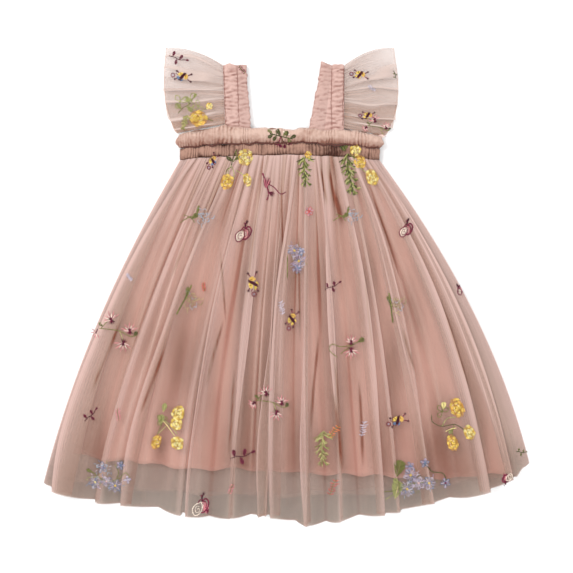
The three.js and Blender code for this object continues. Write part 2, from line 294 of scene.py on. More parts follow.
def cloth(name, points, material, cover=None, grain=(1.0, 1.0), tone=0.6, flat_light=0.0):
    """A sheet from rows x columns of points. grain is the cloth's own width and length in millimetres.

    tone goes from 0, the cloth's darker tone, painted shade in hollows, to 1, its paler tone, painted
    highlight on edges.
    """
    rows, columns = points.shape[:2]
    quads = grid_quads(rows, columns)
    mesh = bpy.data.meshes.new(name)
    mesh.from_pydata((points.reshape(-1, 3) * METRES).tolist(), [], quads.tolist())
    mesh.polygons.foreach_set("use_smooth", [True] * len(mesh.polygons))
    across, down = np.meshgrid(np.linspace(0, grain[0], columns), np.linspace(0, grain[1], rows))
    flat = np.stack([across, down], axis=-1).reshape(-1, 2)
    mesh.uv_layers.new(name="grain").data.foreach_set("uv", flat[quads.reshape(-1)].ravel())
    for key, values in (("cover", 1.0 if cover is None else cover), ("tone", tone)):
        layer = mesh.attributes.new(key, "FLOAT", "POINT")
        layer.data.foreach_set("value", np.broadcast_to(values, (rows, columns)).ravel().astype(np.float32))
    if flat_light:
        normal = normals_of(points)
        level = np.zeros_like(normal)
        level[..., 2] = np.where(normal[..., 2] < 0, -1, 1)
        mesh.normals_split_custom_set_from_vertices(lerp(normal, level, flat_light).reshape(-1, 3).tolist())
    return add_piece(name, mesh, material)


def area_of(points):
    """The area of a sheet in square metres"""
    across, down = np.diff(points, axis=1)[:-1], np.diff(points, axis=0)[:, :-1]
    return float(np.linalg.norm(np.cross(across, down), axis=-1).sum()) * METRES**2


# Materials

def new_material(name, roughness, sheen=0.3, sheen_roughness=0.4):
    material = bpy.data.materials.new(name)
    material.use_nodes = True
    nodes, links = material.node_tree.nodes, material.node_tree.links
    shader = nodes["Principled BSDF"]
    shader.inputs["Roughness"].default_value = roughness
    shader.inputs["Sheen Weight"].default_value = sheen
    shader.inputs["Sheen Roughness"].default_value = sheen_roughness
    shader.inputs["Sheen Tint"].default_value = (1, 0.92, 0.88, 1)
    shader.inputs["Specular IOR Level"].default_value = 0.2
    return material, nodes, links, shader


def arithmetic(nodes, links, operation, *values):
    node = nodes.new("ShaderNodeMath")
    node.operation = operation
    for socket, value in zip(node.inputs, values):
        if isinstance(value, (int, float)):
            socket.default_value = value
        else:
            links.new(value, socket)
    return node.outputs[0]


def grain_waves(nodes, links, pitch, angles):
    """Ridges across the cloth's own grain, pitch millimetres apart, one socket for each angle."""
    grain = nodes.new("ShaderNodeUVMap")
    grain.uv_map = "grain"
    waves = []
    for angle in angles:
        dot = nodes.new("ShaderNodeVectorMath")
        dot.operation = "DOT_PRODUCT"
        links.new(grain.outputs["UV"], dot.inputs[0])
        dot.inputs[1].default_value = (TAU / pitch * math.cos(angle), TAU / pitch * math.sin(angle), 0)
        waves.append(arithmetic(nodes, links, "COSINE", dot.outputs["Value"]))
    return waves


def tinted(nodes, links, shader, colour, shade, scale, detail=3, toned=0.0, deep=None):
    """A base colour that drifts between two tones over the cloth, by noise and by the mesh's tone, which
    holds painted shade and painted highlight. toned is how much the mesh's tone leads it.

    deep is a third colour, painted shadow for the creases, where the tone is under 0.
    """
    place = nodes.new("ShaderNodeTexCoord")
    noise = nodes.new("ShaderNodeTexNoise")
    noise.inputs["Scale"].default_value = scale
    noise.inputs["Detail"].default_value = detail
    links.new(place.outputs["Object"], noise.inputs["Vector"])
    ramp = nodes.new("ShaderNodeValToRGB")
    ramp.color_ramp.elements[0].position = 0.3
    ramp.color_ramp.elements[1].position = 0.7
    ramp.color_ramp.elements[0].color = (*linear(shade), 1)
    ramp.color_ramp.elements[1].color = (*linear(colour), 1)
    if deep:
        ramp.color_ramp.elements.new(0.0).color = (*linear(deep), 1)
    drift = noise.outputs["Fac"]
    if toned:
        tone = nodes.new("ShaderNodeAttribute")
        tone.attribute_name = "tone"
        led = arithmetic(nodes, links, "MULTIPLY", tone.outputs["Fac"], toned)
        drift = arithmetic(nodes, links, "ADD", arithmetic(nodes, links, "MULTIPLY", drift, 1 - toned), led)
    links.new(drift, ramp.inputs["Fac"])
    links.new(ramp.outputs["Color"], shader.inputs["Base Color"])
    return drift


def raised(nodes, links, shader, height, strength, distance):
    bump = nodes.new("ShaderNodeBump")
    bump.inputs["Strength"].default_value = strength
    bump.inputs["Distance"].default_value = distance
    links.new(height, bump.inputs["Height"])
    links.new(bump.outputs["Normal"], shader.inputs["Normal"])


def crossing_waves(nodes, links, pitch):
    """The sum of three ridges a sixth of a turn apart, a six-sided pattern"""
    first, second, third = grain_waves(nodes, links, pitch, (0, TAU / 6, TAU / 3))
    return arithmetic(nodes, links, "ADD", arithmetic(nodes, links, "ADD", first, second), third)


def net_material(name, colour, shade, pitch=0.75, deep=None):
    """Net with six-sided holes: its threads hide what is behind them, and the holes mostly don't."""
    material, nodes, links, shader = new_material(name, 0.75, 0.9, 0.3)
    tinted(nodes, links, shader, colour, shade, 9, 3, 0.75, deep)
    total = crossing_waves(nodes, links, pitch)
    mesh = nodes.new("ShaderNodeMapRange")
    mesh.interpolation_type = "SMOOTHSTEP"
    mesh.inputs["From Min"].default_value = -1.1
    mesh.inputs["From Max"].default_value = 1.2
    mesh.inputs["To Min"].default_value = 1.16
    mesh.inputs["To Max"].default_value = 0.82
    links.new(total, mesh.inputs["Value"])
    cover = nodes.new("ShaderNodeAttribute")
    cover.attribute_name = "cover"
    alpha = arithmetic(nodes, links, "MULTIPLY", cover.outputs["Fac"], mesh.outputs["Result"])
    links.new(alpha, shader.inputs["Alpha"])
    raised(nodes, links, shader, mesh.outputs["Result"], 0.25, 0.0002)
    return material


def woven_material(name, colour, shade, pitch, roughness, strength):
    """Woven cloth: ridges of warp and weft, and a colour that drifts a little."""
    material, nodes, links, shader = new_material(name, roughness)
    drift = tinted(nodes, links, shader, colour, shade, 14, 3, 0.8)
    warp, weft = grain_waves(nodes, links, pitch, (0, TAU / 4))
    weave = arithmetic(nodes, links, "ADD", arithmetic(nodes, links, "MULTIPLY", warp, weft), drift)
    raised(nodes, links, shader, weave, strength, 0.0002)
    return material


def gathered_material(name, colour, shade):
    """Net gathered over lining: mostly opaque, mottled by the net's crossing threads."""
    material, nodes, links, shader = new_material(name, 0.7)
    tinted(nodes, links, shader, colour, shade, 260, 2, 0.6)
    total = crossing_waves(nodes, links, 1.2)
    cover = nodes.new("ShaderNodeAttribute")
    cover.attribute_name = "cover"
    links.new(cover.outputs["Fac"], shader.inputs["Alpha"])
    raised(nodes, links, shader, total, 0.3, 0.0003)
    return material


def thread_material():
    material, nodes, links, shader = new_material("embroidery_thread", 0.42, 0.08)
    colour = nodes.new("ShaderNodeAttribute")
    colour.attribute_name = "thread"
    links.new(colour.outputs["Color"], shader.inputs["Base Color"])
    place = nodes.new("ShaderNodeTexCoord")
    twist = nodes.new("ShaderNodeTexNoise")
    twist.inputs["Scale"].default_value = 2200
    links.new(place.outputs["Object"], twist.inputs["Vector"])
    raised(nodes, links, shader, twist.outputs["Fac"], 0.4, 0.0002)
    return material


NET = net_material("outer_net", COLOURS["net"], COLOURS["net_shade"], 0.75, COLOURS["net_crease_shadow"])
BACK_NET = net_material("back_net", COLOURS["back_net"], COLOURS["back_net_shade"])
SLEEVE_NET = net_material("sleeve_net", COLOURS["sleeve_net"], COLOURS["sleeve_net_shade"])
INNER_NET = net_material("inner_net", COLOURS["inner_net"], COLOURS["inner_net_shade"], 0.7)
LINING = woven_material("lining_cloth", COLOURS["lining"], COLOURS["lining_shade"], 0.5, 0.6, 0.25)
BAND = gathered_material("band_cloth", COLOURS["band"], COLOURS["band_shade"])
STRAP = gathered_material("strap_cloth", COLOURS["strap"], COLOURS["strap_shade"])
CASING = gathered_material("casing_cloth", COLOURS["casing"], COLOURS["casing_shade"])
SEAM_THREAD = woven_material("seam_thread", COLOURS["seam"], COLOURS["seam_shade"], 0.6, 0.6, 0.5)
STITCHING = woven_material("strap_stitching", COLOURS["stitching"], COLOURS["stitching_shade"], 0.6, 0.6, 0.5)
THREAD = thread_material()


# The skirt

def flare(t, side):
    """How far towards its place at the hem a fold is, t of the way down"""
    return t + lerp(0.4, 0.5, side) * t * (1 - t)


def growth(t):
    """How much of its height at the hem a fold has, t of the way down"""
    return 0.12 + 0.88 * (1 - (1 - t) ** 3)


def level_of(name, t):
    """The height at which a layer lies over the ones below it"""
    level = 0
    for other, layer in STACK.items():
        if other == name:
            return level
        level = level + layer["rise"] * growth(t) + layer["wall"] + GAP
    raise ValueError(name)


def layer_base(name, inward, t):
    """The underside of a layer. A front comes down at its sides to lie on its own back."""
    full = level_of(name, t)
    if not name.endswith("_front"):
        return full + 0 * inward
    back = name.replace("_front", "_back")
    seam = level_of(back, t) + SKIRT_LAYERS[back]["wall"] + GAP
    turn = lerp(WAIST_TURN, HEM_TURN, t)
    return lerp(seam, full, np.sqrt(1 - (1 - np.clip(inward / turn, 0, 1)) ** 2))


def even_folds(layer):
    """Evenly spread folds for a layer whose hem is a plain curve, as rows like those of NET_FOLDS"""
    rows = []
    last = layer["folds"] + 1
    for row in range(last + 1):
        share = row / last
        q = 2 * share - 1
        x = lerp(layer["left"], layer["right"], share)
        hem_left, hem_middle, hem_right = layer.get("hems", (0, 0, 0))
        y = hem_middle + (hem_right - hem_left) / 2 * q + ((hem_right + hem_left) / 2 - hem_middle) * q * q
        rows.append({
            "waist": lerp(WAIST_LEFT + layer["inset"], WAIST_RIGHT - layer["inset"], share),
            "x": x,
            "y": y,
            "rise": 0 if row in (0, last) else layer["rise"],
            "lean": 0,
        })
    return rows


def net_hem(x):
    """Y of the outer net's hem at x"""
    rows = np.linspace(0, len(NET_FOLDS) - 1, 400)
    return np.interp(x, along(NET_FOLDS, "x", rows), along(NET_FOLDS, "y", rows, 0.45))


def hem_outline(points):
    """The lowest Y of a folded sheet's last row at each X, as a function"""
    share = np.linspace(0, 1, 6000)
    at = np.linspace(0, 1, points.shape[1])
    x, y = (np.interp(share, at, points[-1, :, axis]) for axis in (0, 1))
    places = np.arange(-280, 281)
    lowest = np.array([y[np.abs(x - place) < 0.6].min(initial=0) for place in places])
    known = lowest < 0
    return lambda where: np.interp(where, places[known], lowest[known])


def skirt_points(name, table, columns, rows, seed, small, gather, lap, outline=None):
    """A skirt layer: main folds from the table, small folds between them, and gathers below the waist.

    Returns its points, how near each one is to the edge of a fold, and how far under a fold it is, both
    from 0 to 1: the first is denser net and partly a painted highlight, the second a painted shadow.
    """
    last = len(table) - 1
    s = np.linspace(0, last, columns)[None, :]
    t = np.linspace(0, 1, rows)[:, None]
    waist, hem_x, hem_y, rise, lean = (along(table, key, s) for key in ("waist", "x", "y", "rise", "lean"))
    x = lerp(waist, hem_x, flare(t, s / last))
    inward = np.minimum(x - x[:, :1], x[:, -1:] - x)
    edge = np.clip(inward / 16, 0, 1)
    wander = 0.16 * wobble_field(s * 0.7 + 3, t * 1.6, seed) * edge
    wave = 0.5 + 0.5 * np.cos(TAU * (s + wander))
    crest = wave ** (1.05 + 0.35 * wobble(s + 0.5, seed + 1))
    crest = crest * (0.72 + 0.28 * wobble_field(s * 0.8 + 20, t * 2.4 + 5, seed + 8))
    grow = growth(t)
    small_phase = TAU * (3 * s + 0.8 * wobble(s * 1.7, seed + 2) + 0.35 * wobble_field(s, t * 2.2, seed + 3))
    small_grow = edge * small * (0.12 + 0.88 * np.sin(math.pi * np.clip(t * 0.85 + 0.12, 0, 1)))
    small_grow = small_grow * (0.6 + 0.4 * wobble(s * 1.3, seed + 4))
    gather_phase = TAU * (waist / 4.2 + 0.5 * wobble(waist / 5.3, seed + 5))
    gather_grow = edge * gather * np.exp(-t * 5) * (0.7 + 0.3 * wobble(waist / 3.1, seed + 6))
    x = x + lap * lean * grow * crest * edge
    x = x + small_grow * 1.6 * np.sin(small_phase) + gather_grow * 0.8 * np.sin(gather_phase)
    if name == "net_front":
        lobe = HEM_LOBE * (0.5 - crest[-1:]) + 1.2 * wobble(s * 2.3, seed + 10)
        hem_y = net_hem(x[-1:]) + lobe * edge[-1:]
    elif name == "net_back":
        hem_y = outline(x[-1:]) - 0.6
    else:
        hem_y = hem_y + 2.6 * wobble(hem_x / 31, seed + 9)
        if name == "lining_front":
            corner = np.clip(1 - inward[-1:] / 24, 0, 1) ** 2 * (s < last / 2)
            hem_y = hem_y + LINING_LOBE * (0.5 - crest[-1:]) + 14 * corner
    y = lerp(waist_y(waist) - GAP, hem_y, t)
    z = layer_base(name, inward, t) + STACK[name]["wall"] / 2 + rise * grow * crest * edge
    small_crest, gather_crest = 0.5 + 0.5 * np.cos(small_phase), 0.5 + 0.5 * np.cos(gather_phase)
    z = z + small_grow * small_crest + gather_grow * gather_crest
    line = np.clip((wave - 0.9) / 0.1, 0, 1) * edge * np.clip(rise / 5, 0, 1) * np.clip(grow * 1.5, 0, 1)
    sparse = np.clip(0.35 + 0.9 * wobble(s * 2.9 + 11, seed + 13), 0, 1)
    line = np.maximum(line, 1.3 * sparse * small_crest**10 * np.clip(small_grow * 1.4, 0, 1))
    line = np.maximum(line, 0.8 * gather_crest**3 * np.clip(gather_grow, 0, 1))
    # Painted shadow under the overlapping folds and between the gathers
    under = np.clip((0.1 - wave) / 0.1, 0, 1) * edge * np.clip(rise / 5, 0, 1)
    under = under * np.clip(0.5 + 0.9 * wobble_field(s * 1.1 + 40, t * 3.1 + 7, seed + 11), 0, 1)
    under = np.maximum(under, 1.3 * (1 - gather_crest) ** 3 * np.clip(gather_grow / 1.6 - 0.3, 0, 1))
    return np.stack([x, y + 0 * x, z + 0 * x], axis=-1), line, under


def turned_hem(points, depth, drop):
    """The sheet with its last edge turned up under itself."""
    last = points[-1:]
    turned = [points]
    for share in (0.0, 0.5, 1.0):
        strip = last.copy()
        strip[..., 1] += depth * share
        strip[..., 2] -= drop * (0.8 + 0.2 * share)
        turned.append(strip)
    return np.concatenate(turned)


# Deep creases, dipped into the lining and darkened as painted shade that shows through the net: X and Y of
# both ends, and the width
CREASES = [
    (44, 141, 64, 70, 4.4),
    (38, 139, 47, 90, 2.0),
    (-72, -40, -92, -112, 1.4),
    (-76, 40, -70, -40, 1.2),
    (-138, -70, -168, -150, 1.6),
    (36, -60, 28, -165, 1.5),
    (56, -80, 60, -165, 1.4),
    (133, -50, 148, -100, 1.7),
    (-6, 128, -4, 30, 1.2),
    (-32, 100, -48, -20, 1.2),
    (96, 110, 130, 10, 1.4),
    (178, -20, 210, -120, 1.4),
    (-190, -40, -222, -120, 1.4),
    (-104, 80, -136, 0, 1.2),
    (-60, -100, -66, -190, 1.2),
    (88, 20, 100, -90, 1.3),
    (14, 60, 16, -60, 1.2),
    (54, -125, 62, -212, 3.2),
    (84, -110, 87, -205, 1.5),
]


def crease_depth(points, narrow=1.0):
    """How deep in a crease each point lies, from 0 to 1. narrow makes the creases that much narrower."""
    x, y = points[..., 0], points[..., 1]
    depth = 0 * x
    for x0, y0, x1, y1, width in CREASES:
        dx, dy = x1 - x0, y1 - y0
        share = ((x - x0) * dx + (y - y0) * dy) / (dx * dx + dy * dy)
        away = ((x - x0) * dy - (y - y0) * dx) / math.hypot(dx, dy)
        ends = np.clip(share / 0.3 + 0.2, 0, 1) * np.clip((1 - share) / 0.3 + 0.2, 0, 1)
        away = away + 0.5 * width * wobble(share * 1.8, int(abs(x0) + 7 * width))
        depth = np.maximum(depth, ends * np.exp(-((away / width / narrow) ** 2)))
    return depth


def make_skirt():
    # Columns, rows, the height of small folds and of gathers, and how far the folds lean
    detail = {
        "net_back": (421, 60, 0.5, 0.9, 1.0),
        "inner_net_back": (241, 40, 0.3, 0.4, 1.0),
        "lining_back": (241, 40, 0.3, 0.4, 1.0),
        "lining_front": (401, 70, 0.35, 0.7, 1.0),
        "inner_net_front": (401, 70, 0.25, 0.6, 1.0),
        "net_front": (865, 116, 1.0, 2.4, PLEAT_LAP),
    }
    surfaces = {}
    net_table = [{**fold, "lean": fold["lean"] * wide} for fold, wide in zip(NET_FOLDS, PLEAT_LAPS)]
    net_seed = 20 * list(detail).index("net_front") + 5
    net = detail["net_front"]
    net_points = skirt_points("net_front", net_table, *net[:2], net_seed, *net[2:])[0]
    outline = hem_outline(net_points)
    for seed, (name, (columns, rows, small, gather, lap)) in enumerate(detail.items()):
        table = net_table if name == "net_front" else even_folds(SKIRT_LAYERS[name])
        fold_sizes = (small, gather, lap)
        points, line, under = skirt_points(name, table, columns, rows, 20 * seed + 5, *fold_sizes, outline)
        lining = name.startswith("lining")
        down = np.linspace(0, 1, rows)[:, None]
        top = np.exp(-6 * down)
        height = points[..., 2] - layer_base(name, np.full((1, columns), 99.0), down)
        full = max(STACK[name]["rise"], 1)
        # Painted shade in the folds' valleys and paler crests and edges, partly painted highlight and, on the
        # nets, partly the net lying doubled there
        tone = np.clip(height / full, 0, 1) * 0.7 + 0.3 * line
        inward = np.minimum(points[..., 0] - points[:, :1, 0], points[:, -1:, 0] - points[..., 0])
        tone = np.maximum(tone, 0.9 * np.clip(1 - inward / 26, 0, 1))
        broad = wobble_field(points[..., 0] / 24 + 30, points[..., 1] / 95 + 30, 900)
        if name == "net_back":
            # The back net turns darker and greyer towards the hem: painted shade
            low_hem = np.clip((points[..., 1] + 150) / -60, 0, 1)
            tone = np.clip(0.9 - 0.9 * low_hem + 0.25 * tone, 0, 1)
        if lining:
            # The lining's creases dip and are darkened as painted shade; it is also paler near the waist,
            # drifts at random, and takes the pools of painted light and shade
            crease = crease_depth(points)
            points[..., 2] -= 0.8 * crease
            tone = 0.42 + 0.36 * tone + 0.4 * top + 0.34 * broad - 0.6 * crease + pool_light_and_shade(points)
            tone = np.clip(tone, 0, 1)
            tone[-1:] += 0.15
        surfaces[name] = points
        shown = turned_hem(points, LINING_HEM, 0.7) if lining else points
        width, length = 1000 * area_of(points) / SKIRT_DROP, 1000 * SKIRT_DROP
        if lining:
            tone = np.concatenate([tone, np.repeat(tone[-1:], 3, axis=0)])
            cover = None
        else:
            cover = np.clip(cover_at_slopes(points, NET_COVER[name]) + 0.34 * line, 0, FULL_COVER)
            if name == "net_front":
                side_reach = np.where(points[..., 0] < 0, *SIDE_LAYERS) * down + 1
                cover = cover * (1 - 0.36 * down**4) + 0.22 * np.clip(1 - inward / side_reach, 0, 1) ** 0.7
                # Paler near the waist, darker towards the hem, and the pools of painted light and shade;
                # painted shadow in the creases and under the overlapping folds, a darker tone down to the
                # net_crease_shadow colour on denser net so that it shows
                crease = np.maximum(0.42 * crease_depth(points, 0.8), 0.3 * under)
                tone = tone + 0.25 * top - 0.25 * down**5 + 0.5 * pool_light_and_shade(points)
                tone = np.maximum(tone, 0.06) - 1.6 * crease
                cover = np.clip(cover + 0.45 * crease + 0.22 * top, 0, FULL_COVER)
                cover[-1:] = HEM_COVER
        material = LINING if lining else INNER_NET if name.startswith("inner") else NET
        material = BACK_NET if name == "net_back" else material
        flat_light = 0 if lining else FOLD_NORMAL
        piece = cloth(name + "_cloth", shown, material, cover, (width, length), tone, flat_light)
        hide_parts(name)
    return surfaces


skirt = make_skirt()


# The band

def band_surface(columns, rows, low, high, height, front, swell, gathers, seed):
    """A strip of the band, gathered upright, and its tones, painted shade and light. height(v) is its top
    surface where it is full.
    """
    u = np.linspace(0, 1, columns)[None, :]
    v = np.linspace(0, 1, rows)[:, None]
    left = WAIST_LEFT - swell * np.sin(math.pi * v)
    right = WAIST_RIGHT + swell * np.sin(math.pi * v)
    x = lerp(left, right, u)
    q = 2 * u - 1
    section = (1 - np.abs(q) ** BAND_EDGE_POWER) ** (1 / BAND_EDGE_POWER)
    pitch, depth, hold = gathers
    phase = TAU * (x / pitch + 0.75 * wobble(x / 7.3, seed) + 0.3 * wobble_field(x / 7, v * 3, seed + 1))
    ridge = 0.5 + 0.5 * np.cos(phase)
    grip = hold + (1 - hold) * np.abs(2 * v - 1) ** 1.5
    strength = np.clip(0.65 + 0.5 * wobble(x / 6.3, seed + 2), 0.15, 1.2)
    fold = depth * grip * ridge * strength * section
    soft = wobble_field(x / 13 + 9, v * 2.5, seed + 7)
    y = lerp(low(x) + 0.5 * wobble(x / 9, seed + 3), high(x) + 1.5 * wobble(x / 8, seed + 4), v)
    if front:
        z = lerp(3.0, height(v), section) + fold + 0.5 * soft * section * np.sin(math.pi * v)
    else:
        z = height(v) + 0.4 * fold + 0 * x
    # Painted shade in the gathers' hollows, and paler on the soft swells
    hollow_shade = (1 - ridge) * grip * strength
    puffed = front and hold < 0.5
    # Painted shading: on the puffed band, shade on its lower half and light on its upper half; on the flat
    # strips, shade towards both seams
    if puffed:
        painted_shading = 0.26 * (1 - v) ** 3 - 0.32 * (v - 0.5)
    else:
        painted_shading = 0.35 * np.abs(2 * v - 1) ** 5 - 0.1 * (v - 0.5)
    tone = 0.68 + 0.15 * soft - (0.36 if hold > 0.5 else 0.5) * hollow_shade - painted_shading
    tone = tone + (0.18 if hold > 0.5 else 0.1) * wobble_field(x / 9 + 50, v * 1.7, seed + 8)
    return np.stack([x + 0.4 * np.sin(phase) * grip, y, z], axis=-1), np.clip(tone, 0, 1)


def casing_high(x):
    return waist_y(x) + CASING_HEIGHT


def puff(v):
    """The puffed band swells out over the casing seam, and turns down at the neck edge."""
    dome = 8.2 + 4.2 * np.sin(math.pi * np.clip(v * 0.96, 0, 1)) ** 0.75
    return np.where(v > 0.86, lerp(dome, 4.2, ((v - 0.86) / 0.14) ** 2), dome)


def elastic(v):
    """The casing is a flat tube, drawn in at both of its seams."""
    return 6.2 + 3.4 * np.sin(math.pi * np.clip(v, 0.02, 0.98)) ** 0.45


def back_swell(v):
    return 1.9 + 0 * v


def make_band():
    casing = (waist_y, casing_high)
    header = (casing_high, band_top)
    swell = BAND_SWELL
    pieces = {
        "waist_casing_front": band_surface(721, 26, *casing, elastic, True, 0.3, (3.6, 1.7, 0.8), 201),
        "waist_casing_back": band_surface(361, 8, *casing, back_swell, False, 0.0, (4.6, 1.5, 0.8), 231),
        "bodice_band_front": band_surface(721, 44, *header, puff, True, swell, (4.3, 1.9, 0.3), 261),
        "bodice_band_back": band_surface(361, 12, *header, back_swell, False, swell, (5.2, 1.2, 0.2), 291),
    }
    surfaces = {}
    for name, (points, tone) in pieces.items():
        surfaces[name] = points
        # The fronts take the pools of painted light and shade
        if name.endswith("_front"):
            tone = tone + pool_light_and_shade(points)
        height = 14 if "casing" in name else 24
        piece = cloth(name + "_cloth", points, CASING if "casing" in name else BAND, 1.0, (400, height), tone)
        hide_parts(name)
    return surfaces


band = make_band()


# Straps and sleeves

def turned_path(front_rows, turn_rows, back_rows):
    """How far up, on which side and how far past the turn each row of a folded strip lies."""
    up = np.concatenate([np.linspace(0, 1, front_rows, endpoint=False), np.ones(turn_rows),
                         np.linspace(1, 0, back_rows + 1)[1:]])
    angle = np.concatenate([np.zeros(front_rows), np.linspace(0, math.pi, turn_rows),
                            np.full(back_rows, math.pi)])
    return up[:, None], np.cos(angle)[:, None], np.sin(angle)[:, None]


def strap_points(strap, seed):
    """The folded strap: a frill from its neck edge to the stitching, and from there a ruched channel."""
    up, side, over = turned_path(190, 17, 130)
    share = np.linspace(0, 1, 44)[None, :]
    neck_x = lerp(strap["neck_low"], strap["neck_high"], up)
    seam_x = lerp(strap["seam_low"], strap["seam_high"], up)
    x = lerp(neck_x, seam_x, share)
    stitch = lerp(strap["stitch_low"], strap["stitch_high"], up)
    frill = share < stitch
    within = np.where(frill, share / stitch, (share - stitch) / (1 - stitch))
    body = np.sin(math.pi * np.clip(within, 0, 1)) ** 0.6
    turn_y = SHOULDER_Y - 1.1 - STRAP_TURN + strap["corner"] * np.clip(1 - share * 2.2, 0, 1) ** 1.3
    low_y = band_top(x) - 2
    y = lerp(low_y, turn_y, up)
    slant = 0.12 * (x - neck_x)
    first = np.cos(TAU * ((y + slant) / 4.7 + 0.3 * wobble(y / 6.7, seed)))
    second = np.cos(TAU * ((y - 2.2 * slant) / 5.9 + 0.3 * wobble(y / 5.1, seed + 4)))
    mix = np.clip(0.5 + 0.9 * wobble_field(x / 4.5 + 40, y / 6.5 + 40, seed + 1), 0, 1)
    ridge = 0.5 + 0.5 * lerp(first, second, mix)
    strength = np.clip(0.75 + 0.45 * wobble_field(x / 5 + 60, y / 4.4 + 60, seed + 2), 0.25, 1.2)
    lift = body * np.where(frill, 0.4 + 1.5 * ridge * strength, 1.0 + 2.2 * ridge * strength)
    lift = lift * np.where(side > 0, 1, 0.35)
    edge_shift = np.where(share < 0.05, 0.8 * wobble(y / 3.4, seed + 3), 0)
    radius = STRAP_TURN + lift
    z = 1.1 + STRAP_TURN + radius * side
    y = y + over * radius
    # Painted shade in the ruching's hollows and towards the edges of frill and channel
    hollow_shade = (1 - ridge) * strength * np.where(frill, 0.45, 0.55)
    tone = np.where(frill, 0.94, 0.9) - hollow_shade - 0.3 * np.abs(2 * within - 1) ** 8
    return np.stack([x + edge_shift, y, np.maximum(z, 0.25)], axis=-1), np.clip(tone, 0, 1)


def sleeve_points(sleeve, strap, seed):
    """A flutter sleeve, folded over at its top edge, and the tones of its folds, with painted highlight on
    their crests.
    """
    up, side, over = turned_path(220, 13, 130)
    out = np.linspace(0, 1, 64)[None, :]
    outward = math.copysign(1, sleeve["tip"][0])
    seam_x = lerp(strap["seam_low"], strap["seam_high"], up) + outward * 0.3
    turn_y = SHOULDER_Y - 0.5 - STRAP_TURN
    seam_y = lerp(band_top(seam_x) + 0.6, turn_y, up)
    swell = sleeve["bulge"] * np.sin(math.pi * up**0.75)
    free_x = lerp(sleeve["low"][0], sleeve["tip"][0], up) + swell
    free_y = lerp(sleeve["low"][1], sleeve["tip"][1], up)
    radius = lerp(STRAP_TURN, 1.2, out)
    front = np.clip(side, 0, 1)
    phase = TAU * (5.5 * up + 0.5 * wobble(up * 7, seed) + 0.2 * wobble_field(out * 2, up * 5, seed + 1))
    wave = 0.5 - 0.5 * np.cos(phase)
    crest = wave**1.2
    fine = TAU * (24 * up + 0.8 * wobble(up * 19, seed + 2) + 0.3 * wobble_field(out * 3, up * 9, seed + 3))
    fine_crest = 0.5 + 0.5 * np.cos(fine)
    fan = np.sin(math.pi * np.clip(up, 0, 1)) ** 0.4
    near = np.exp(-out * 2.2)
    rise = front * fan * (lerp(0.8, 3.4, out) * crest + 0.9 * near * fine_crest)
    lean = -front * fan * 9.0 * out**0.6 * crest * (0.7 + 0.5 * wobble(up * 6, seed + 4))
    y = lerp(seam_y, free_y, out) + sleeve["bow"] * 4 * out * (1 - out) * up**3 + over * radius
    x = lerp(seam_x, free_x, out) + outward * 0.8 * front * out * wobble(up * 13, seed + 5)
    line = front * np.clip((wave - 0.88) / 0.12, 0, 1) * np.clip(out * 3, 0, 1)
    line = np.maximum(line, front * 0.6 * near * fine_crest**3)
    # Paler on the folds' crests and ridge lines, painted highlight, and darker towards the low end; the
    # turned-under layer has only the gradient towards the low end
    tone = np.clip(0.1 + 0.62 * up + 0.3 * crest + 0.4 * line, 0, 1)
    tone = np.where(side < 0, 0.25 + 0.4 * up, tone)
    points = np.stack([x, y + lean - 1.6 * front * fan * out, 0.7 + radius * (1 + side) + rise], axis=-1)
    return points, tone + 0 * out, line + 0 * out


def make_shoulders():
    surfaces = {}
    for number, side in enumerate(("left", "right")):
        points, tone = strap_points(STRAPS[side], 400 + 30 * number)
        surfaces["strap_" + side] = points
        share = np.linspace(0, 1, points.shape[1])[None, :]
        cover = np.broadcast_to(np.where(share < STRAPS[side]["stitch_high"], 0.85, 1.0), points.shape[:2])
        strap = cloth("strap_" + side + "_cloth", points, STRAP, cover, (60, 200), tone, 0.3)
        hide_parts("strap_" + side)
        points, tone, line = sleeve_points(SLEEVES[side], STRAPS[side], 500 + 30 * number)
        surfaces["sleeve_" + side] = points
        out = np.linspace(0, 1, points.shape[1])[None, :]
        high = np.clip((points[..., 1] - NECK_Y) / (SHOULDER_Y + 15 - NECK_Y), 0, 1)
        net_cover = NET_COVER["sleeve"] * (1.15 - 0.55 * out * high)
        cover = np.clip(cover_at_slopes(points, net_cover) + 0.5 * line, 0, FULL_COVER)
        cover[:, -2:] = np.clip(cover[:, -2:] + 0.18, 0, FULL_COVER)
        sleeve = cloth("sleeve_" + side + "_cloth", points, SLEEVE_NET, cover, (70, 240), tone, FOLD_NORMAL)
        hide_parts("sleeve_" + side)
    return surfaces


shoulders = make_shoulders()


# Seams

def tube(path, radius, sides=6):
    """Points and quads of a round cord along a path of points."""
    path = np.asarray(path, float)
    ahead = np.gradient(path, axis=0)
    ahead /= np.linalg.norm(ahead, axis=1, keepdims=True)
    side = np.cross(ahead, (0, 0, 1))
    side /= np.maximum(np.linalg.norm(side, axis=1, keepdims=True), 1e-9)
    above = np.cross(side, ahead)
    angle = np.linspace(0, TAU, sides, endpoint=False)
    ring = np.cos(angle)[None, :, None] * side[:, None] + np.sin(angle)[None, :, None] * above[:, None]
    points = (path[:, None] + radius * ring).reshape(-1, 3)
    index = np.arange(len(path) * sides).reshape(len(path), sides)
    across = np.roll(index, -1, axis=1)
    quads = np.stack([index[:-1], across[:-1], across[1:], index[1:]], axis=-1).reshape(-1, 4)
    return points, quads


def top_of(*surfaces):
    """A tree to find the height of the topmost of some surfaces."""
    places, quads, count = [], [], 0
    for points in surfaces:
        rows, columns = points.shape[:2]
        places.extend(points.reshape(-1, 3).tolist())
        quads.extend(grid_quads(rows, columns, count).tolist())
        count += rows * columns
    return BVHTree.FromPolygons(places, quads)


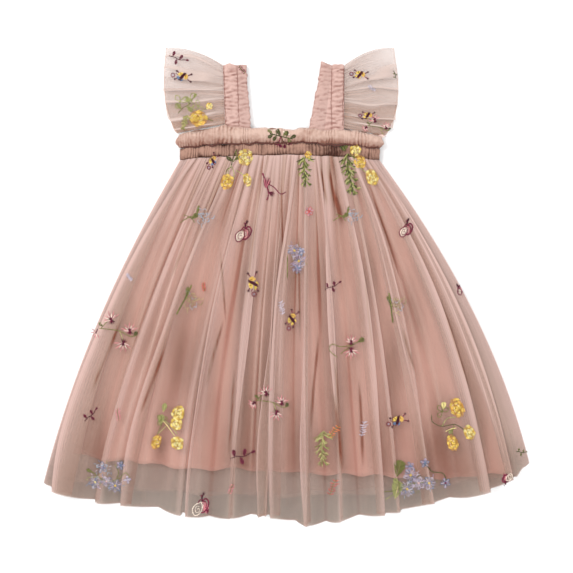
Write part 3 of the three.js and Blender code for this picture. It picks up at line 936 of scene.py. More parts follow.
def height_at(tree, x, y, side=1, default=None):
    """The height of a surface at a place, from above or, with side -1, from below"""
    hit = tree.ray_cast(Vector((x, y, 80.0 * side)), Vector((0, 0, -side)))[0]
    return hit.z if hit else default


def cord_piece(name, cords, material):
    points, quads, count = [], [], 0
    for cord_points, cord_quads in cords:
        points.append(cord_points)
        quads.append(cord_quads + count)
        count += len(cord_points)
    mesh = bpy.data.meshes.new(name)
    mesh.from_pydata((np.concatenate(points) * METRES).tolist(), [], np.concatenate(quads).tolist())
    mesh.polygons.foreach_set("use_smooth", [True] * len(mesh.polygons))
    mesh.uv_layers.new(name="grain")
    piece = add_piece(name, mesh, material)


def casing_cords():
    """Dark cords along the casing's two seams: the elastic thread, and on the upper seam also a painted
    shadow under the puffed band
    """
    cords = []
    x = np.arange(WAIST_LEFT + 1.5, WAIST_RIGHT - 1, 0.8)
    q = np.abs((2 * x - WAIST_LEFT - WAIST_RIGHT) / (WAIST_RIGHT - WAIST_LEFT))
    section = (1 - q**BAND_EDGE_POWER) ** (1 / BAND_EDGE_POWER)
    for number, (line, height, radius) in enumerate(((casing_high, 9.3, 1.25), (waist_y, 7.4, 0.4))):
        y = line(x) + 1.5 * wobble(x / 8.5, 700 + number) + 0.5 * wobble(x / 2.1, 710 + number)
        z = lerp(3.0, height, section) + 0.5 * wobble(x / 2.9, 720 + number)
        cords.append(tube(np.stack([x, y, z], axis=-1), radius))
    return cords


def strap_cords():
    """Rows of stitches along the straps' channels"""
    cords = []
    for side, strap in STRAPS.items():
        tree = top_of(shoulders["strap_" + side])
        up = np.linspace(0.02, 0.97, 90)
        inner_row = (strap["stitch_low"], strap["stitch_high"], 0.28)
        for share_low, share_high, radius in (inner_row, (0.96, 0.96, 0.3)):
            neck = lerp(strap["neck_low"], strap["neck_high"], up)
            seam = lerp(strap["seam_low"], strap["seam_high"], up)
            x = lerp(neck, seam, lerp(share_low, share_high, up)) + 0.5 * wobble(up * 31, 740)
            y = lerp(NECK_Y + 2, SHOULDER_Y - 3, up)
            z = np.array([height_at(tree, a, b, default=7.0) for a, b in zip(x, y)]) + 0.02
            cords.append(tube(np.stack([x, y, z], axis=-1), radius))
    return cords


cord_piece("casing_threads", casing_cords(), SEAM_THREAD)
cord_piece("strap_threads", strap_cords(), STITCHING)


# Embroidery

THREADS = {
    "yellow": (246, 212, 106),
    "pale_yellow": (252, 236, 160),
    "gold": (210, 170, 82),
    "amber": (208, 154, 74),
    "green": (124, 124, 66),
    "dark_green": (80, 84, 46),
    "light_green": (168, 168, 106),
    "olive": (146, 136, 84),
    "straw": (186, 168, 120),
    "mist": (178, 176, 184),
    "lilac": (168, 154, 184),
    "blue": (112, 132, 166),
    "plum": (122, 32, 62),
    "pink": (226, 140, 148),
    "pale_pink": (246, 206, 200),
    "red": (212, 88, 80),
    "orange": (232, 130, 70),
    "orange_yellow": (240, 194, 100),
    "pale_lilac": (208, 198, 212),
    "pale_blue": (160, 180, 198),
    "dark_plum": (72, 18, 36),
    "lime": (220, 220, 80),
    "brown": (88, 52, 32),
    "cream": (250, 232, 214),
}
STEM_WIDTH = 1.25 # how much thicker stems are than the widths given for them
FRONT_LOFT = 0.45 # how high stitches on the front arch


class Needle:
    """Sews raised stitches on a surface. side is 1 for its top and -1 for its underside."""

    def __init__(self, tree, side, loft, seed):
        self.tree, self.side, self.loft = tree, side, loft
        self.chance = np.random.default_rng(seed)
        self.points, self.quads, self.colours = [], [], []
        self.place, self.turn, self.size, self.lift = 0j, 1 + 0j, 1.0, 0.0

    def at(self, x, y, turn, size):
        self.place, self.turn, self.size = complex(x, y), complex(math.cos(turn), math.sin(turn)), size

    def stitch(self, start, end, colour, width=0.95, sections=3):
        """One flat satin stitch between two places in the motif's own coordinates."""
        a, b = (self.place + p * self.turn * self.size for p in (start, end))
        if abs(b - a) < 0.2:
            return
        across = (b - a) / abs(b - a) * 1j * width / 2
        shade = 0.7 + 0.55 * self.chance.random()
        tone = [min(1.0, c * shade) for c in linear(THREADS[colour])]
        first, height = len(self.points), None
        for n in range(sections + 1):
            share = n / sections
            middle = a + (b - a) * share
            height = height_at(self.tree, middle.real, middle.imag, self.side, height)
            if height is None:
                del self.points[first:]
                return
            arch = math.sin(math.pi * share)
            wide = 0.45 + 0.55 * arch**0.5
            for reach, lift in ((-1, 0.0), (-0.5, 1.0), (0.5, 1.0), (1, 0.0)):
                p = middle + across * reach * wide
                raise_by = self.lift * self.loft / FRONT_LOFT + self.loft * (0.3 + 0.7 * arch) * lift
                z = height + self.side * (0.06 + raise_by)
                self.points.append((p.real, p.imag, z))
        for n in range(sections):
            for k in range(3):
                low, high = first + 4 * n + k, first + 4 * n + 4 + k
                self.quads.append((low, low + 1, high + 1, high))
                self.colours.append(tone)

    def satin(self, middle, angle, length, width, colour, pitch=0.75):
        """A petal filled with stitches that run along it."""
        lie = complex(math.cos(angle), math.sin(angle))
        count = max(2, round(width * self.size / pitch))
        for n in range(count):
            offset = (n + 0.5) / count * 2 - 1
            half = length / 2 * (1 - abs(offset) ** 2.2) ** 0.5 * (0.92 + 0.16 * self.chance.random())
            edge = middle + lie * 1j * offset * width / 2
            self.stitch(edge - lie * half, edge + lie * half, colour)

    def leaf(self, foot, angle, length, width, colour, vein):
        """A leaf of slanting stitches on both sides of its vein."""
        lie = complex(math.cos(angle), math.sin(angle))
        count = max(3, round(length * self.size / 0.8))
        for n in range(count):
            share = (n + 0.3) / count
            reach = width / 2 * math.sin(math.pi * share**0.8)
            root = foot + lie * length * share
            for way in (1, -1):
                self.stitch(root, root + lie * reach * 0.9 + lie * 1j * way * reach, colour, 0.7, 2)
        self.stitch(foot, foot + lie * length * 0.95, vein, 0.5)

    def line(self, path, colour, width=0.7, pitch=2.2):
        """A stem of short stitches along a smooth curve through the path."""
        width = width * STEM_WIDTH
        path = [path[0], *path, path[-1]]
        track = []
        for p0, p1, p2, p3 in zip(path, path[1:], path[2:], path[3:]):
            steps = max(2, round(abs(p2 - p1) * self.size / pitch))
            for n in range(steps):
                u = n / steps
                bend = (2 * p0 - 5 * p1 + 4 * p2 - p3) * u**2 + (3 * p1 - p0 - 3 * p2 + p3) * u**3
                track.append(p1 + 0.5 * ((p2 - p0) * u + bend))
        track.append(path[-1])
        for a, b in zip(track, track[1:]):
            self.stitch(a, b + (b - a) * 0.15, colour, width, 2)

    def knot(self, middle, colour, reach=0.8):
        for angle in (0.3, 1.4, 2.4):
            lie = complex(math.cos(angle), math.sin(angle)) * reach
            self.stitch(middle - lie, middle + lie, colour, 0.8, 2)

    def piece(self, name):
        mesh = bpy.data.meshes.new(name)
        mesh.from_pydata((np.array(self.points) * METRES).tolist(), [], self.quads)
        layer = mesh.attributes.new("thread", "FLOAT_COLOR", "CORNER")
        tones = np.repeat(np.array([[*c, 1.0] for c in self.colours]), 4, axis=0)
        layer.data.foreach_set("color", tones.ravel().astype(np.float32))
        piece = add_piece(name, mesh, THREAD)
        return piece


def cis(angle):
    """A step of length 1 in the direction of an angle"""
    return complex(math.cos(angle), math.sin(angle))


def fan(needle, root, turn, reach, colours, spread=0.85, count=6):
    """Stitches that spread from one place, like a small shell."""
    for n in range(count):
        share = 2 * n / (count - 1) - 1
        lie = cis(turn + spread * share)
        far = root + lie * reach * (1 - 0.22 * share**2)
        needle.stitch(root + lie * reach * 0.1, far, colours[n % len(colours)], 0.95)


# A rose's rings of petals: how far out they lie, how many there are, their size, and their lift
ROSE_RINGS = [
    (0.4, 10, 0.34, 0.25),
    (0.21, 6, 0.28, 0.5),
    (0.04, 2, 0.22, 0.7),
]


def rose(needle, middle, turn, length, width, tint="pale"):
    """A full blossom: short satin petals in rings, over a darker ground that shows between them"""
    tones, ground = {
        "pale": (("yellow", "pale_yellow"), "gold"),
        "deep": (("orange_yellow", "yellow"), "amber"),
    }[tint]
    ahead = cis(turn)
    needle.satin(middle, turn, length * 1.02, width * 1.02, ground, 0.9)
    for out, count, size, lift in ROSE_RINGS:
        needle.lift = lift
        for n in range(count):
            angle = TAU * (n + 0.4 * out) / count + 0.35 * math.sin(2.7 * n + length)
            far = out * (1 + 0.16 * math.sin(4.1 * n + width))
            place = middle + ahead * complex(length * math.cos(angle), width * math.sin(angle)) * far
            lean = turn + angle + math.pi / 2 + 0.4 * math.sin(1.9 * n + width)
            tone = tones[n % 2 if out > 0.3 else 1]
            needle.satin(place, lean, width * size, width * size * 0.6, tone, 0.95)
    # Cream and gold stitches over the middle: light strands, and also a painted highlight on the satin
    needle.lift = 0.75
    for n in range(9):
        lie = ahead * cis(2.4 * n + width)
        place = middle + lie * width * (0.12 + 0.035 * n)
        needle.stitch(place, place + lie * 1j * width * 0.2, "cream" if n % 3 else "gold", 0.55, 2)
    needle.lift = 0.0


def open_daisy(needle, middle, size, colours, centre="lime", petals=5, turn=0.0):
    """A flower of thin looped petals, with a knot in the middle"""
    for n in range(petals):
        lie = cis(turn + TAU * n / petals + 0.15 * math.sin(5 * n))
        tip = middle + lie * size
        colour = colours[n % len(colours)]
        other = colours[(n + 1) % len(colours)]
        for way in (1, -1):
            bend = middle + lie * size * 0.62 + lie * 1j * way * size * 0.3
            needle.stitch(middle + lie * size * 0.15, bend, colour, 0.85, 2)
            needle.stitch(bend, tip, other, 0.85, 2)
        needle.stitch(middle + lie * size * 0.3, middle + lie * size * 0.9, "pale_lilac", 0.8, 2)
    needle.lift = 0.35
    needle.knot(middle, centre, size * 0.2)
    needle.knot(middle + 0.3 + 0.2j, centre, size * 0.14)
    needle.lift = 0.0


def plum_daisy(needle, middle, size, turn):
    """Pink and cream petals on one side of a plum heart"""
    for n in range(5):
        lie = cis(turn + (n - 2) * 0.62)
        bend = middle + lie * size * 0.7 + lie * 1j * size * 0.18
        needle.stitch(middle, bend, "cream" if n % 2 else "pale_pink", 1.2, 2)
        needle.stitch(middle + lie * size * 0.4, middle + lie * size * 1.05, "pink", 0.9, 2)
    needle.lift = 0.35
    for n in range(4):
        lie = cis(turn + math.pi + (n - 1.5) * 0.5)
        colour = "dark_plum" if n % 2 else "plum"
        needle.stitch(middle - lie * size * 0.35, middle + lie * size * 0.45, colour, 1.5, 2)
    needle.lift = 0.0


def loops(needle, middle, size, colour):
    """Three leaves in outline"""
    for angle in (0.4, 2.2, 4.1):
        lie = cis(angle)
        needle.line([middle, middle + lie * size * 0.6 + lie * 1j * size * 0.32, middle + lie * size,
                     middle + lie * size * 0.6 - lie * 1j * size * 0.32, middle], colour, 0.8)


def yellow_sprig(needle, tint):
    """Four roses and a bud round crossing stems"""
    needle.line([-5 + 5j, 0 - 1j, 8 - 12j], "pale_yellow", 0.9)
    needle.line([-3 + 5j, 3 + 0j, 11 - 10j], "light_green", 0.9)
    needle.line([-6 + 3j, -9 - 4j, -12 - 11j], "green", 0.9)
    needle.line([-2 - 1j, -7 - 6j, -10 - 9j], "light_green", 0.9)
    needle.leaf(-9 + 0j, 1.35, 13, 8, "light_green", "green")
    needle.leaf(-5 + 15j, 1.35, 11, 6, "light_green", "pale_yellow")
    loops(needle, -7 + 6j, 7, "green")
    rose(needle, 12 + 14j, 1.3, 17, 14, "pale")
    rose(needle, 10 + 2j, -1.3, 15, 13, "pale")
    rose(needle, -13 - 19j, -1.9, 18, 10, "deep")
    rose(needle, 11 - 20j, -1.1, 15, 14, "pale")


def trailing_sprig(needle, tint):
    """Three hanging roses on a winding stem"""
    needle.line([-24 + 12j, -23 + 4j, -12 - 1j, 3 + 1j, 14 - 6j], "dark_green", 0.9)
    needle.line([-12 - 1j, -6 + 8j, 3 + 9j], "light_green", 0.9)
    needle.line([2 + 1j, 0 - 6j, 0 - 12j], "green", 0.9)
    needle.line([-8 - 7j, -2 - 4j, 4 - 3j], "pale_yellow", 0.8)
    loops(needle, -12 + 16j, 8, "green")
    needle.leaf(-10 + 18j, 1.6, 9, 6, "pale_yellow", "light_green")
    needle.leaf(0 - 4j, -2.2, 7, 4, "light_green", "green")
    rose(needle, 5 + 20j, 1.95, 23, 15, "deep")
    rose(needle, 19 - 8j, -1.2, 17, 12, "pale")
    rose(needle, 0 - 20j, -1.25, 19, 12, "deep")


def waist_roses(needle, tint):
    """Three roses that hang from a dark twig at the waist"""
    needle.line([3 + 26j, -1 + 16j, -3 + 8j], "dark_green", 1.3)
    needle.line([1 + 24j, 3 + 18j, -1 + 12j], "green", 1.1)
    needle.leaf(-2 + 12j, 2.4, 9, 5, "dark_green", "green")
    needle.leaf(0 + 14j, 0.5, 8, 5, "green", "dark_green")
    needle.line([-3 + 8j, -7 + 0j, -4 - 8j, 0 - 4j, -2 + 6j], "light_green", 0.9)
    needle.line([-2 + 6j, -9 + 2j, -8 - 6j], "green", 0.9)
    needle.line([2 + 2j, 9 - 2j, 12 - 6j], "light_green", 0.9)
    rose(needle, 13 + 17j, 1.5, 19, 16, "pale")
    rose(needle, -8 - 11j, -1.8, 18, 14, "deep")
    rose(needle, 15 - 9j, -1.4, 15, 9, "pale")


def waist_fern(needle, tint):
    """A thick fern and three roses beside it"""
    fern(needle, "", 1.55)
    needle.leaf(-6 + 26j, 1.2, 9, 7, "green", "dark_green")
    needle.leaf(-3 + 26j, 2.3, 9, 6, "dark_green", "green")
    needle.line([3 + 16j, 12 + 8j, 20 + 2j], "light_green", 0.9)
    rose(needle, 8 + 27j, 1.4, 13, 12, "pale")
    rose(needle, 13 + 14j, -0.9, 16, 13, "deep")
    rose(needle, 27 - 4j, -1.2, 19, 13, "pale")


def single_rose(needle, tint):
    needle.line([0 - 9j, 1 - 4j, 0j], "green", 0.9)
    rose(needle, 0 + 3j, math.pi / 2, 14, 12, tint or "pale")


def fern(needle, tint, size=1.0):
    """A spray of narrow leaves along a bent stem"""
    tones = ("straw", "light_green", "olive") if tint == "pale" else ("green", "light_green", "dark_green")
    needle.line([p * size for p in (0 + 15j, -1 + 6j, 0 - 1j, 2 - 8j, 4 - 16j)], tones[2], 1.1)
    count = round(9 * size)
    for n in range(count):
        share = n / count
        foot = complex(-0.5 + 5 * share**2, 15 - 29 * share) * size
        reach = (7.6 + 2.6 * math.sin(n * 1.7)) * size**0.5 * (1 - 0.35 * share)
        for k, angle in enumerate((-0.55, math.pi + 0.65, -1.2, math.pi + 1.2)):
            lie = cis(angle + 0.35 * math.sin(n * 2.3 + k))
            tip = foot + lie * reach
            needle.stitch(foot, tip, tones[(n + k) % 3], 1.7, 2)
            beside = tip + lie * 1j * reach * 0.3
            needle.stitch(foot + lie * reach * 0.5, beside, tones[(n + k + 1) % 3], 1.3, 2)


def leaf_twig(needle, tint):
    """A small twig with three or four leaves"""
    tones = {"plum": ("plum", "dark_plum"), "pale": ("light_green", "green")}
    leaf, vein = tones.get(tint, ("green", "dark_green"))
    needle.line([-8 - 3j, -2 + 0j, 4 + 1j, 9 + 5j], vein, 0.9)
    needle.leaf(-4 - 1j, 1.9, 7, 3.6, leaf, vein)
    needle.leaf(1 + 0.5j, -1.1, 7.5, 3.6, leaf, vein)
    needle.leaf(4 + 1j, 1.6, 7, 3.6, leaf, vein)
    needle.leaf(9 + 5j, 0.6, 5, 2.8, leaf, vein)


def plum_twig(needle, tint):
    """A plum bud on a bent twig"""
    needle.line([-3 + 13j, 0 + 4j, 3 - 8j, 1 - 14j], "plum", 1.8)
    needle.line([0 + 3j, 8 - 1j, 15 - 8j, 20 - 6j], "plum", 1.2)
    needle.lift = 0.3
    fan(needle, 0 - 3j, 1.4, 12, ("plum", "pink"), 0.4, 7)
    fan(needle, 3 - 6j, -0.5, 7, ("plum", "dark_plum"), 0.5, 5)
    needle.lift = 0.0


def band_twig(needle, tint):
    """A dark leafy twig on the band that reaches down over the casing"""
    needle.line([-14 + 3j, -6 + 1j, 2 - 1j, 12 - 3j], "dark_green", 1.3)
    needle.line([-2 + 0j, -3 - 6j, -6 - 12j], "plum", 1.4)
    needle.line([-1 + 0j, 2 - 7j, 8 - 10j], "brown", 1.3)
    leaves = ((-11 + 3j, 2.4), (-7 + 2j, 1.2), (-2 + 0j, 2.0), (1 + 0j, 0.9), (5 - 1j, 1.5), (9 - 2j, 0.4),
              (6 - 2j, -1.0), (-6 + 1j, -2.2), (-10 + 2j, -2.6))
    for number, (foot, angle) in enumerate(leaves):
        leaf, vein = ("dark_green", "green") if number % 3 else ("green", "light_green")
        needle.leaf(foot, angle, 7.5, 4.4, leaf, vein)
    for foot, angle in ((-4 - 6j, -2.5), (-5 - 9j, -0.6), (3 - 8j, -1.6), (6 - 9j, 0.2)):
        needle.leaf(foot, angle, 6, 3.6, "plum", "dark_plum")
    needle.lift = 0.4
    for place in (-9 + 7j, 2 + 5j, 8 + 2j):
        needle.knot(place, "cream", 1.2)
    needle.lift = 0.0


def pink_sprig(needle, tint):
    """Small pink flowers with plum hearts on a curved stem"""
    needle.line([-20 + 1j, -10 + 0j, 2 - 2j, 14 - 8j, 22 - 6j], "green", 0.9)
    needle.line([-18 + 1j, -12 + 8j, -8 + 11j], "green", 0.9)
    needle.line([2 - 2j, 6 - 12j, 8 - 15j], "light_green", 0.8)
    needle.leaf(-16 + 3j, 2.5, 7, 3.4, "green", "dark_green")
    needle.leaf(17 - 7j, 0.8, 6, 4, "dark_green", "green")
    plum_daisy(needle, -7 + 10j, 10, 1.9)
    plum_daisy(needle, 13 - 2j, 9, 1.6)
    plum_daisy(needle, 6 - 15j, 10, -1.9)
    plum_daisy(needle, -23 - 3j, 7, -2.4)


def looped_sprig(needle, tint):
    """A long looped stem that ends in a pink flower and a leaf"""
    needle.line([8 + 2j, -6 + 0j, -16 + 3j, -19 - 4j, -10 - 12j], "green", 0.9)
    needle.line([-6 - 8j, 2 - 2j, 8 + 2j, 14 + 6j], "green", 0.9)
    needle.leaf(13 + 5j, 0.5, 9, 6, "green", "dark_green")
    plum_daisy(needle, 6 - 4j, 10, -1.6)
    plum_daisy(needle, 6 + 5j, 8.5, 1.5)


def strands(needle, places, reach, colours):
    """Loose short stitches round some flowers"""
    for number, place in enumerate(places):
        for n in range(10):
            lie = cis(2.4 * n + number)
            foot = place + lie * reach * (0.35 + 0.6 * needle.chance.random())
            side = cis(2.4 * n + number + 0.9 * needle.chance.random() - 0.2)
            needle.stitch(foot, foot + side * reach * 0.4, colours[(n + number) % len(colours)], 0.65, 2)


def lilac_bunch(needle, tint):
    """A bunch of lilac and blue flowers with a stem beside it"""
    tones = ("lilac", "blue", "pale_lilac")
    needle.line([-9 + 2j, -9 - 10j, -9 - 23j], "green", 1.0)
    open_daisy(needle, -1 + 8j, 8, tones, "yellow", 6, 0.2)
    open_daisy(needle, 4 - 4j, 8.5, ("pale_lilac", "lilac", "blue"), "yellow", 6, 0.5)
    open_daisy(needle, 2 - 13j, 5.5, ("blue", "lilac"), "lilac", 5, 0.9)
    open_daisy(needle, 7 + 7j, 4.5, ("blue", "pale_lilac"), "lilac", 5, 0.9)
    strands(needle, (-1 + 8j, 4 - 4j, 2 - 12j), 9, ("pale_lilac", "pale_blue", "lilac", "green"))


def lilac_cloud(needle, tint):
    """A pale blue flower head with a green twig to its left"""
    for n in range(16):
        lie = cis(n * 2.4)
        place = lie * 8.5 * (n / 16) ** 0.5
        path = [place, place + cis(n * 1.9) * 2.5, place + cis(n * 1.9 + 1) * 5]
        needle.line(path, "pale_blue" if n % 3 == 1 else "mist", 0.75)
    needle.line([-28 - 7j, -18 - 1j, -10 + 1j, -6 + 9j], "green", 1.0)
    needle.line([-24 + 2j, -16 - 1j, -11 - 7j], "green", 0.9)
    needle.leaf(-15 - 3j, 0.7, 10, 6, "green", "dark_green")
    needle.leaf(-9 + 3j, 1.3, 11, 3, "green", "light_green")


def faded_bunch(needle, tint):
    """A dark stem beside a pale flower head that looks as if it lay under the net"""
    for n in range(20):
        place = cis(n * 2.4) * 9.5 * (n / 20) ** 0.5
        path = [place, place + cis(n * 1.9) * 3, place + cis(n * 1.9 + 1) * 6]
        needle.line(path, ("straw", "olive", "mist", "straw")[n % 4], 0.7)
    needle.line([-15 - 18j, -11 - 6j, -6 + 8j, -4 + 18j], "green", 1.7)
    needle.line([-13 - 12j, -9 + 0j, -7 + 10j], "dark_green", 1.3)
    needle.leaf(-8 + 6j, 1.5, 10, 4, "green", "olive")


def hem_bunch_left(needle, tint):
    """Lilac and blue flowers on a stem that curls to the right"""
    needle.line([-20 + 12j, -10 + 4j, 2 - 2j, 14 + 1j, 22 + 8j, 27 + 2j], "green", 0.9)
    needle.line([-22 + 2j, -14 + 3j, -6 + 2j], "light_green", 0.9)
    needle.line([12 + 1j, 14 + 9j, 10 + 17j], "green", 0.9)
    needle.leaf(-16 + 8j, 2.6, 8, 4, "green", "light_green")
    open_daisy(needle, -5 + 14j, 7, ("blue", "pale_blue"), "lilac", 5, 0.4)
    open_daisy(needle, -13 - 3j, 8, ("lilac", "blue", "pale_lilac"), "pale_yellow", 6, 0.1)
    open_daisy(needle, 10 - 7j, 8, ("blue", "lilac"), "yellow", 6, 0.3)
    open_daisy(needle, 0 - 2j, 6, ("pale_lilac", "lilac"), "pale_pink", 5, 0.8)
    open_daisy(needle, 16 + 16j, 5, ("blue", "blue", "lilac"), "blue", 5, 1.2)
    open_daisy(needle, 24 + 0j, 4.5, ("pale_lilac", "lilac"), "pale_lilac", 4, 0.2)
    tones = ("pale_lilac", "pale_blue", "blue", "light_green")
    strands(needle, (-5 + 12j, -13 - 3j, 10 - 7j, 1 - 1j), 9, tones)


def hem_bunch_right(needle, tint):
    """A wide bunch of lilac flowers between two leaves and a stem with buds"""
    needle.line([-32 - 11j, -22 - 10j, -12 - 6j, 0 - 2j, 14 + 0j], "green", 1.0)
    needle.line([14 + 22j, 20 + 16j, 24 + 12j, 36 + 10j, 40 + 2j], "dark_green", 1.1)
    needle.line([-30 - 20j, -20 - 14j, -14 - 12j], "light_green", 0.9)
    needle.leaf(-17 + 6j, 1.3, 20, 14, "green", "light_green")
    needle.leaf(-19 - 19j, 1.35, 21, 14, "light_green", "pale_yellow")
    needle.leaf(-14 - 2j, 2.4, 9, 6, "light_green", "green")
    open_daisy(needle, -1 + 8j, 9, ("lilac", "pale_lilac", "blue"), "yellow", 6, 0.2)
    open_daisy(needle, -5 - 8j, 9, ("blue", "lilac", "pale_lilac"), "yellow", 6, 0.6)
    open_daisy(needle, 8 - 1j, 8, ("pale_lilac", "lilac"), "pale_pink", 6, 0.4)
    open_daisy(needle, 20 - 1j, 8, ("blue", "lilac", "pale_lilac"), "yellow", 6, 0.1)
    open_daisy(needle, -2 + 18j, 5.5, ("blue", "lilac"), "blue", 5, 0.7)
    open_daisy(needle, 15 + 22j, 5.5, ("blue", "blue", "lilac"), "blue", 5, 0.3)
    open_daisy(needle, 39 - 1j, 6, ("lilac", "blue"), "plum", 5, 0.8)
    strands(needle, (-1 + 8j, -5 - 8j, 8 - 1j, 20 - 1j), 10, ("pale_lilac", "pale_blue", "lilac", "green"))


def bee(needle, tint):
    """A yellow body under a slanting plum bar, with feelers that end in knots and a ring at its foot"""
    first = "blue" if tint == "blue" else "yellow"
    needle.satin(6 + 0.5j, math.pi / 2, 7, 4.6, "orange_yellow")
    needle.satin(-0.5 + 2.6j, 0.2, 8, 4, "yellow")
    needle.satin(-3 - 2.2j, -0.3, 5.4, 3, first)
    needle.satin(1 - 4.2j, 0.4, 4.6, 2.2, first)
    needle.lift = 0.3
    hairs = (
        (5 + 0j, 1.4, 3, "brown"), (7 - 1j, 2.0, 3, "gold"), (-1 + 3j, 0.2, 5, "gold"),
        (0 + 1j, 1.9, 4, "brown"), (-4 + 1j, 2.6, 4, "plum"), (-2 - 3j, -0.9, 3, "pink"),
    )
    for foot, angle, reach, colour in hairs:
        needle.stitch(foot, foot + cis(angle) * reach, colour, 0.8, 2)
    needle.lift = 0.45
    for n in range(3):
        needle.stitch(complex(5.5 - 1.1 * n, 5), complex(-0.5 - 1.1 * n, -5), "dark_plum", 1.5)
    for root, tip in ((8 + 2j, 12 + 4.6j), (8 - 2j, 12.5 - 4.4j), (-3 + 4j, -6 + 5.5j), (-4 - 3j, -7 - 4.4j)):
        needle.stitch(root, tip, "plum", 1.0)
        needle.knot(tip, "dark_plum", 1.5)
    for n in range(8):
        needle.stitch(-10 + 2.6 * cis(TAU * n / 8), -10 + 2.6 * cis(TAU * (n + 1.3) / 8), "plum", 1.1, 2)
    needle.knot(-10 + 0j, "lilac", 0.9)
    needle.lift = 0.0


def butterfly(needle, tint):
    """A pale oval wing with a spiral, and a second wing in thick outline, under a plum body"""
    edge = "cream" if tint == "open" else "plum"
    if tint == "open":
        needle.satin(6 - 3j, -1.3, 13, 6, "pink", 0.9)
        needle.satin(8 - 5j, -1.3, 9, 3, "plum", 0.9)
    else:
        needle.satin(-3 - 6j, math.pi / 2 - 0.2, 13, 8, "cream", 0.85)
    needle.lift = 0.35
    needle.line([0 + 2j, -5 - 1j, -8 - 7j, -5 - 13j, -1 - 12j, 2 - 7j, 2 - 2j, 0 + 2j], edge, 1.0)
    needle.line([-1 - 3j, -4 - 3j, -5 - 7j, -3 - 10j, 0 - 8j, -1 - 5j, -3 - 6j], edge, 0.7)
    needle.line([1 + 3j, 4 + 7j, 8 + 4j, 8 - 2j, 5 - 8j, 2 - 9j], "plum", 1.7)
    needle.line([2 + 3j, 4 + 4j, 6 + 1j, 6 - 3j], "plum", 0.9)
    needle.line([1 + 2j, 4 + 1j, 5 - 4j, 3 - 7j], "pink", 1.0)
    needle.line([1 + 0j, 3 - 1j, 3 - 4j], "pale_pink", 0.9)
    needle.line([-3 + 0j, -2 + 4j, 1 + 5j, 4 + 3j], "plum", 1.2)
    needle.line([1 + 3j, 0 + 8j, 1 + 11j], "dark_plum", 1.7)
    needle.knot(1 + 12j, "dark_plum", 2.0)
    needle.knot(-1 + 9j, "plum", 1.5)
    needle.lift = 0.0


def red_sprig(needle, tint):
    """Small red buds up a thin stem"""
    colour = {"pink": "pink", "orange": "orange", "lilac": "pale_lilac", "plum": "plum"}.get(tint, "red")
    needle.line([-3 - 9j, 0 - 3j, 1 + 3j, 5 + 9j], colour if tint == "lilac" else "green", 0.8)
    for n in range(6):
        foot = complex(-2 + 1.2 * n, -8 + 3 * n)
        for angle in (0.2 + 0.3 * math.sin(3 * n), 2.6 + 0.3 * math.sin(5 * n)):
            needle.stitch(foot, foot + cis(angle) * (4.4 + math.sin(2 * n)), colour, 1.1, 2)


def red_ring(needle, tint):
    """A red flower in outline"""
    open_daisy(needle, 0j, 6, ("red", "pink"), "red", 6, 0.3)


MOTIFS = {motif.__name__: motif for motif in (
    yellow_sprig, trailing_sprig, waist_roses, waist_fern, single_rose, fern, leaf_twig, plum_twig, band_twig,
    pink_sprig, looped_sprig, lilac_bunch, lilac_cloud, faded_bunch, hem_bunch_left, hem_bunch_right, bee,
    butterfly, red_sprig, red_ring,
)}
MOTIFS["loops"] = lambda needle, tint: loops(needle, 0j, 9, "light_green")

# kind, x, y, turn in degrees, size, tint
FRONT_MOTIFS = [
    ("waist_roses", -60, 130, 0, 1.0, ""),
    ("waist_fern", 71, 128, 0, 1.0, ""),
    ("fern", 20, 133, -8, 1.15, ""),
    ("single_rose", 25, 148, 0, 0.62, "deep"),
    ("yellow_sprig", -136, -160, 0, 1.0, ""),
    ("trailing_sprig", 190, -160, 0, 1.0, ""),
    ("bee", -85, 142, 60, 0.8, "blue"),
    ("bee", -38, 1, 95, 1.1, ""),
    ("bee", 6, -40, 70, 0.95, ""),
    ("bee", 126, -155, 20, 1.0, "blue"),
    ("butterfly", -49, 62, -15, 1.0, ""),
    ("butterfly", 137, 66, -10, 0.85, ""),
    ("butterfly", -98, -250, -10, 1.05, "open"),
    ("butterfly", 252, -222, 160, 0.6, "open"),
    ("butterfly", 198, -4, 30, 0.5, ""),
    ("lilac_bunch", 10, 32, 0, 1.0, ""),
    ("lilac_cloud", 77, 80, 0, 0.85, "lilac"),
    ("lilac_cloud", -94, 79, 0, 1.0, ""),
    ("hem_bunch_left", -206, -222, 0, 1.0, ""),
    ("hem_bunch_right", 143, -225, 0, 1.0, ""),
    ("red_sprig", -6, -26, 30, 0.8, "lilac"),
    ("red_sprig", 87, -164, 10, 0.9, "lilac"),
    ("pink_sprig", -193, -50, 0, 1.05, ""),
    ("looped_sprig", 68, -70, 0, 1.0, ""),
    ("pink_sprig", -17, -132, 0, 0.9, ""),
    ("faded_bunch", 127, -22, 25, 0.9, ""),
    ("faded_bunch", -108, -18, -10, 1.0, ""),
    ("red_ring", 26, 85, 0, 0.9, ""),
    ("fern", 40, -185, -10, 1.25, "pale"),
    ("red_sprig", 53, -167, -20, 0.9, "orange"),
    ("red_sprig", 52, -231, 0, 1.0, ""),
    ("leaf_twig", 268, -191, -30, 0.6, ""),
    ("plum_twig", -24, 114, 0, 1.15, ""),
    ("red_sprig", -64, -233, 0, 0.6, "pink"),
    ("red_sprig", -193, -148, 30, 0.7, "pink"),
    ("red_sprig", -95, -2, 30, 0.5, ""),
    ("red_sprig", -180, 9, 60, 0.5, "lilac"),
    ("leaf_twig", -225, -150, 20, 0.9, "plum"),
    ("leaf_twig", -54, -196, -10, 1.3, "plum"),
    ("leaf_twig", 51, -2, 0, 0.9, "plum"),
    ("band_twig", -5, 171, 0, 1.0, ""),
]
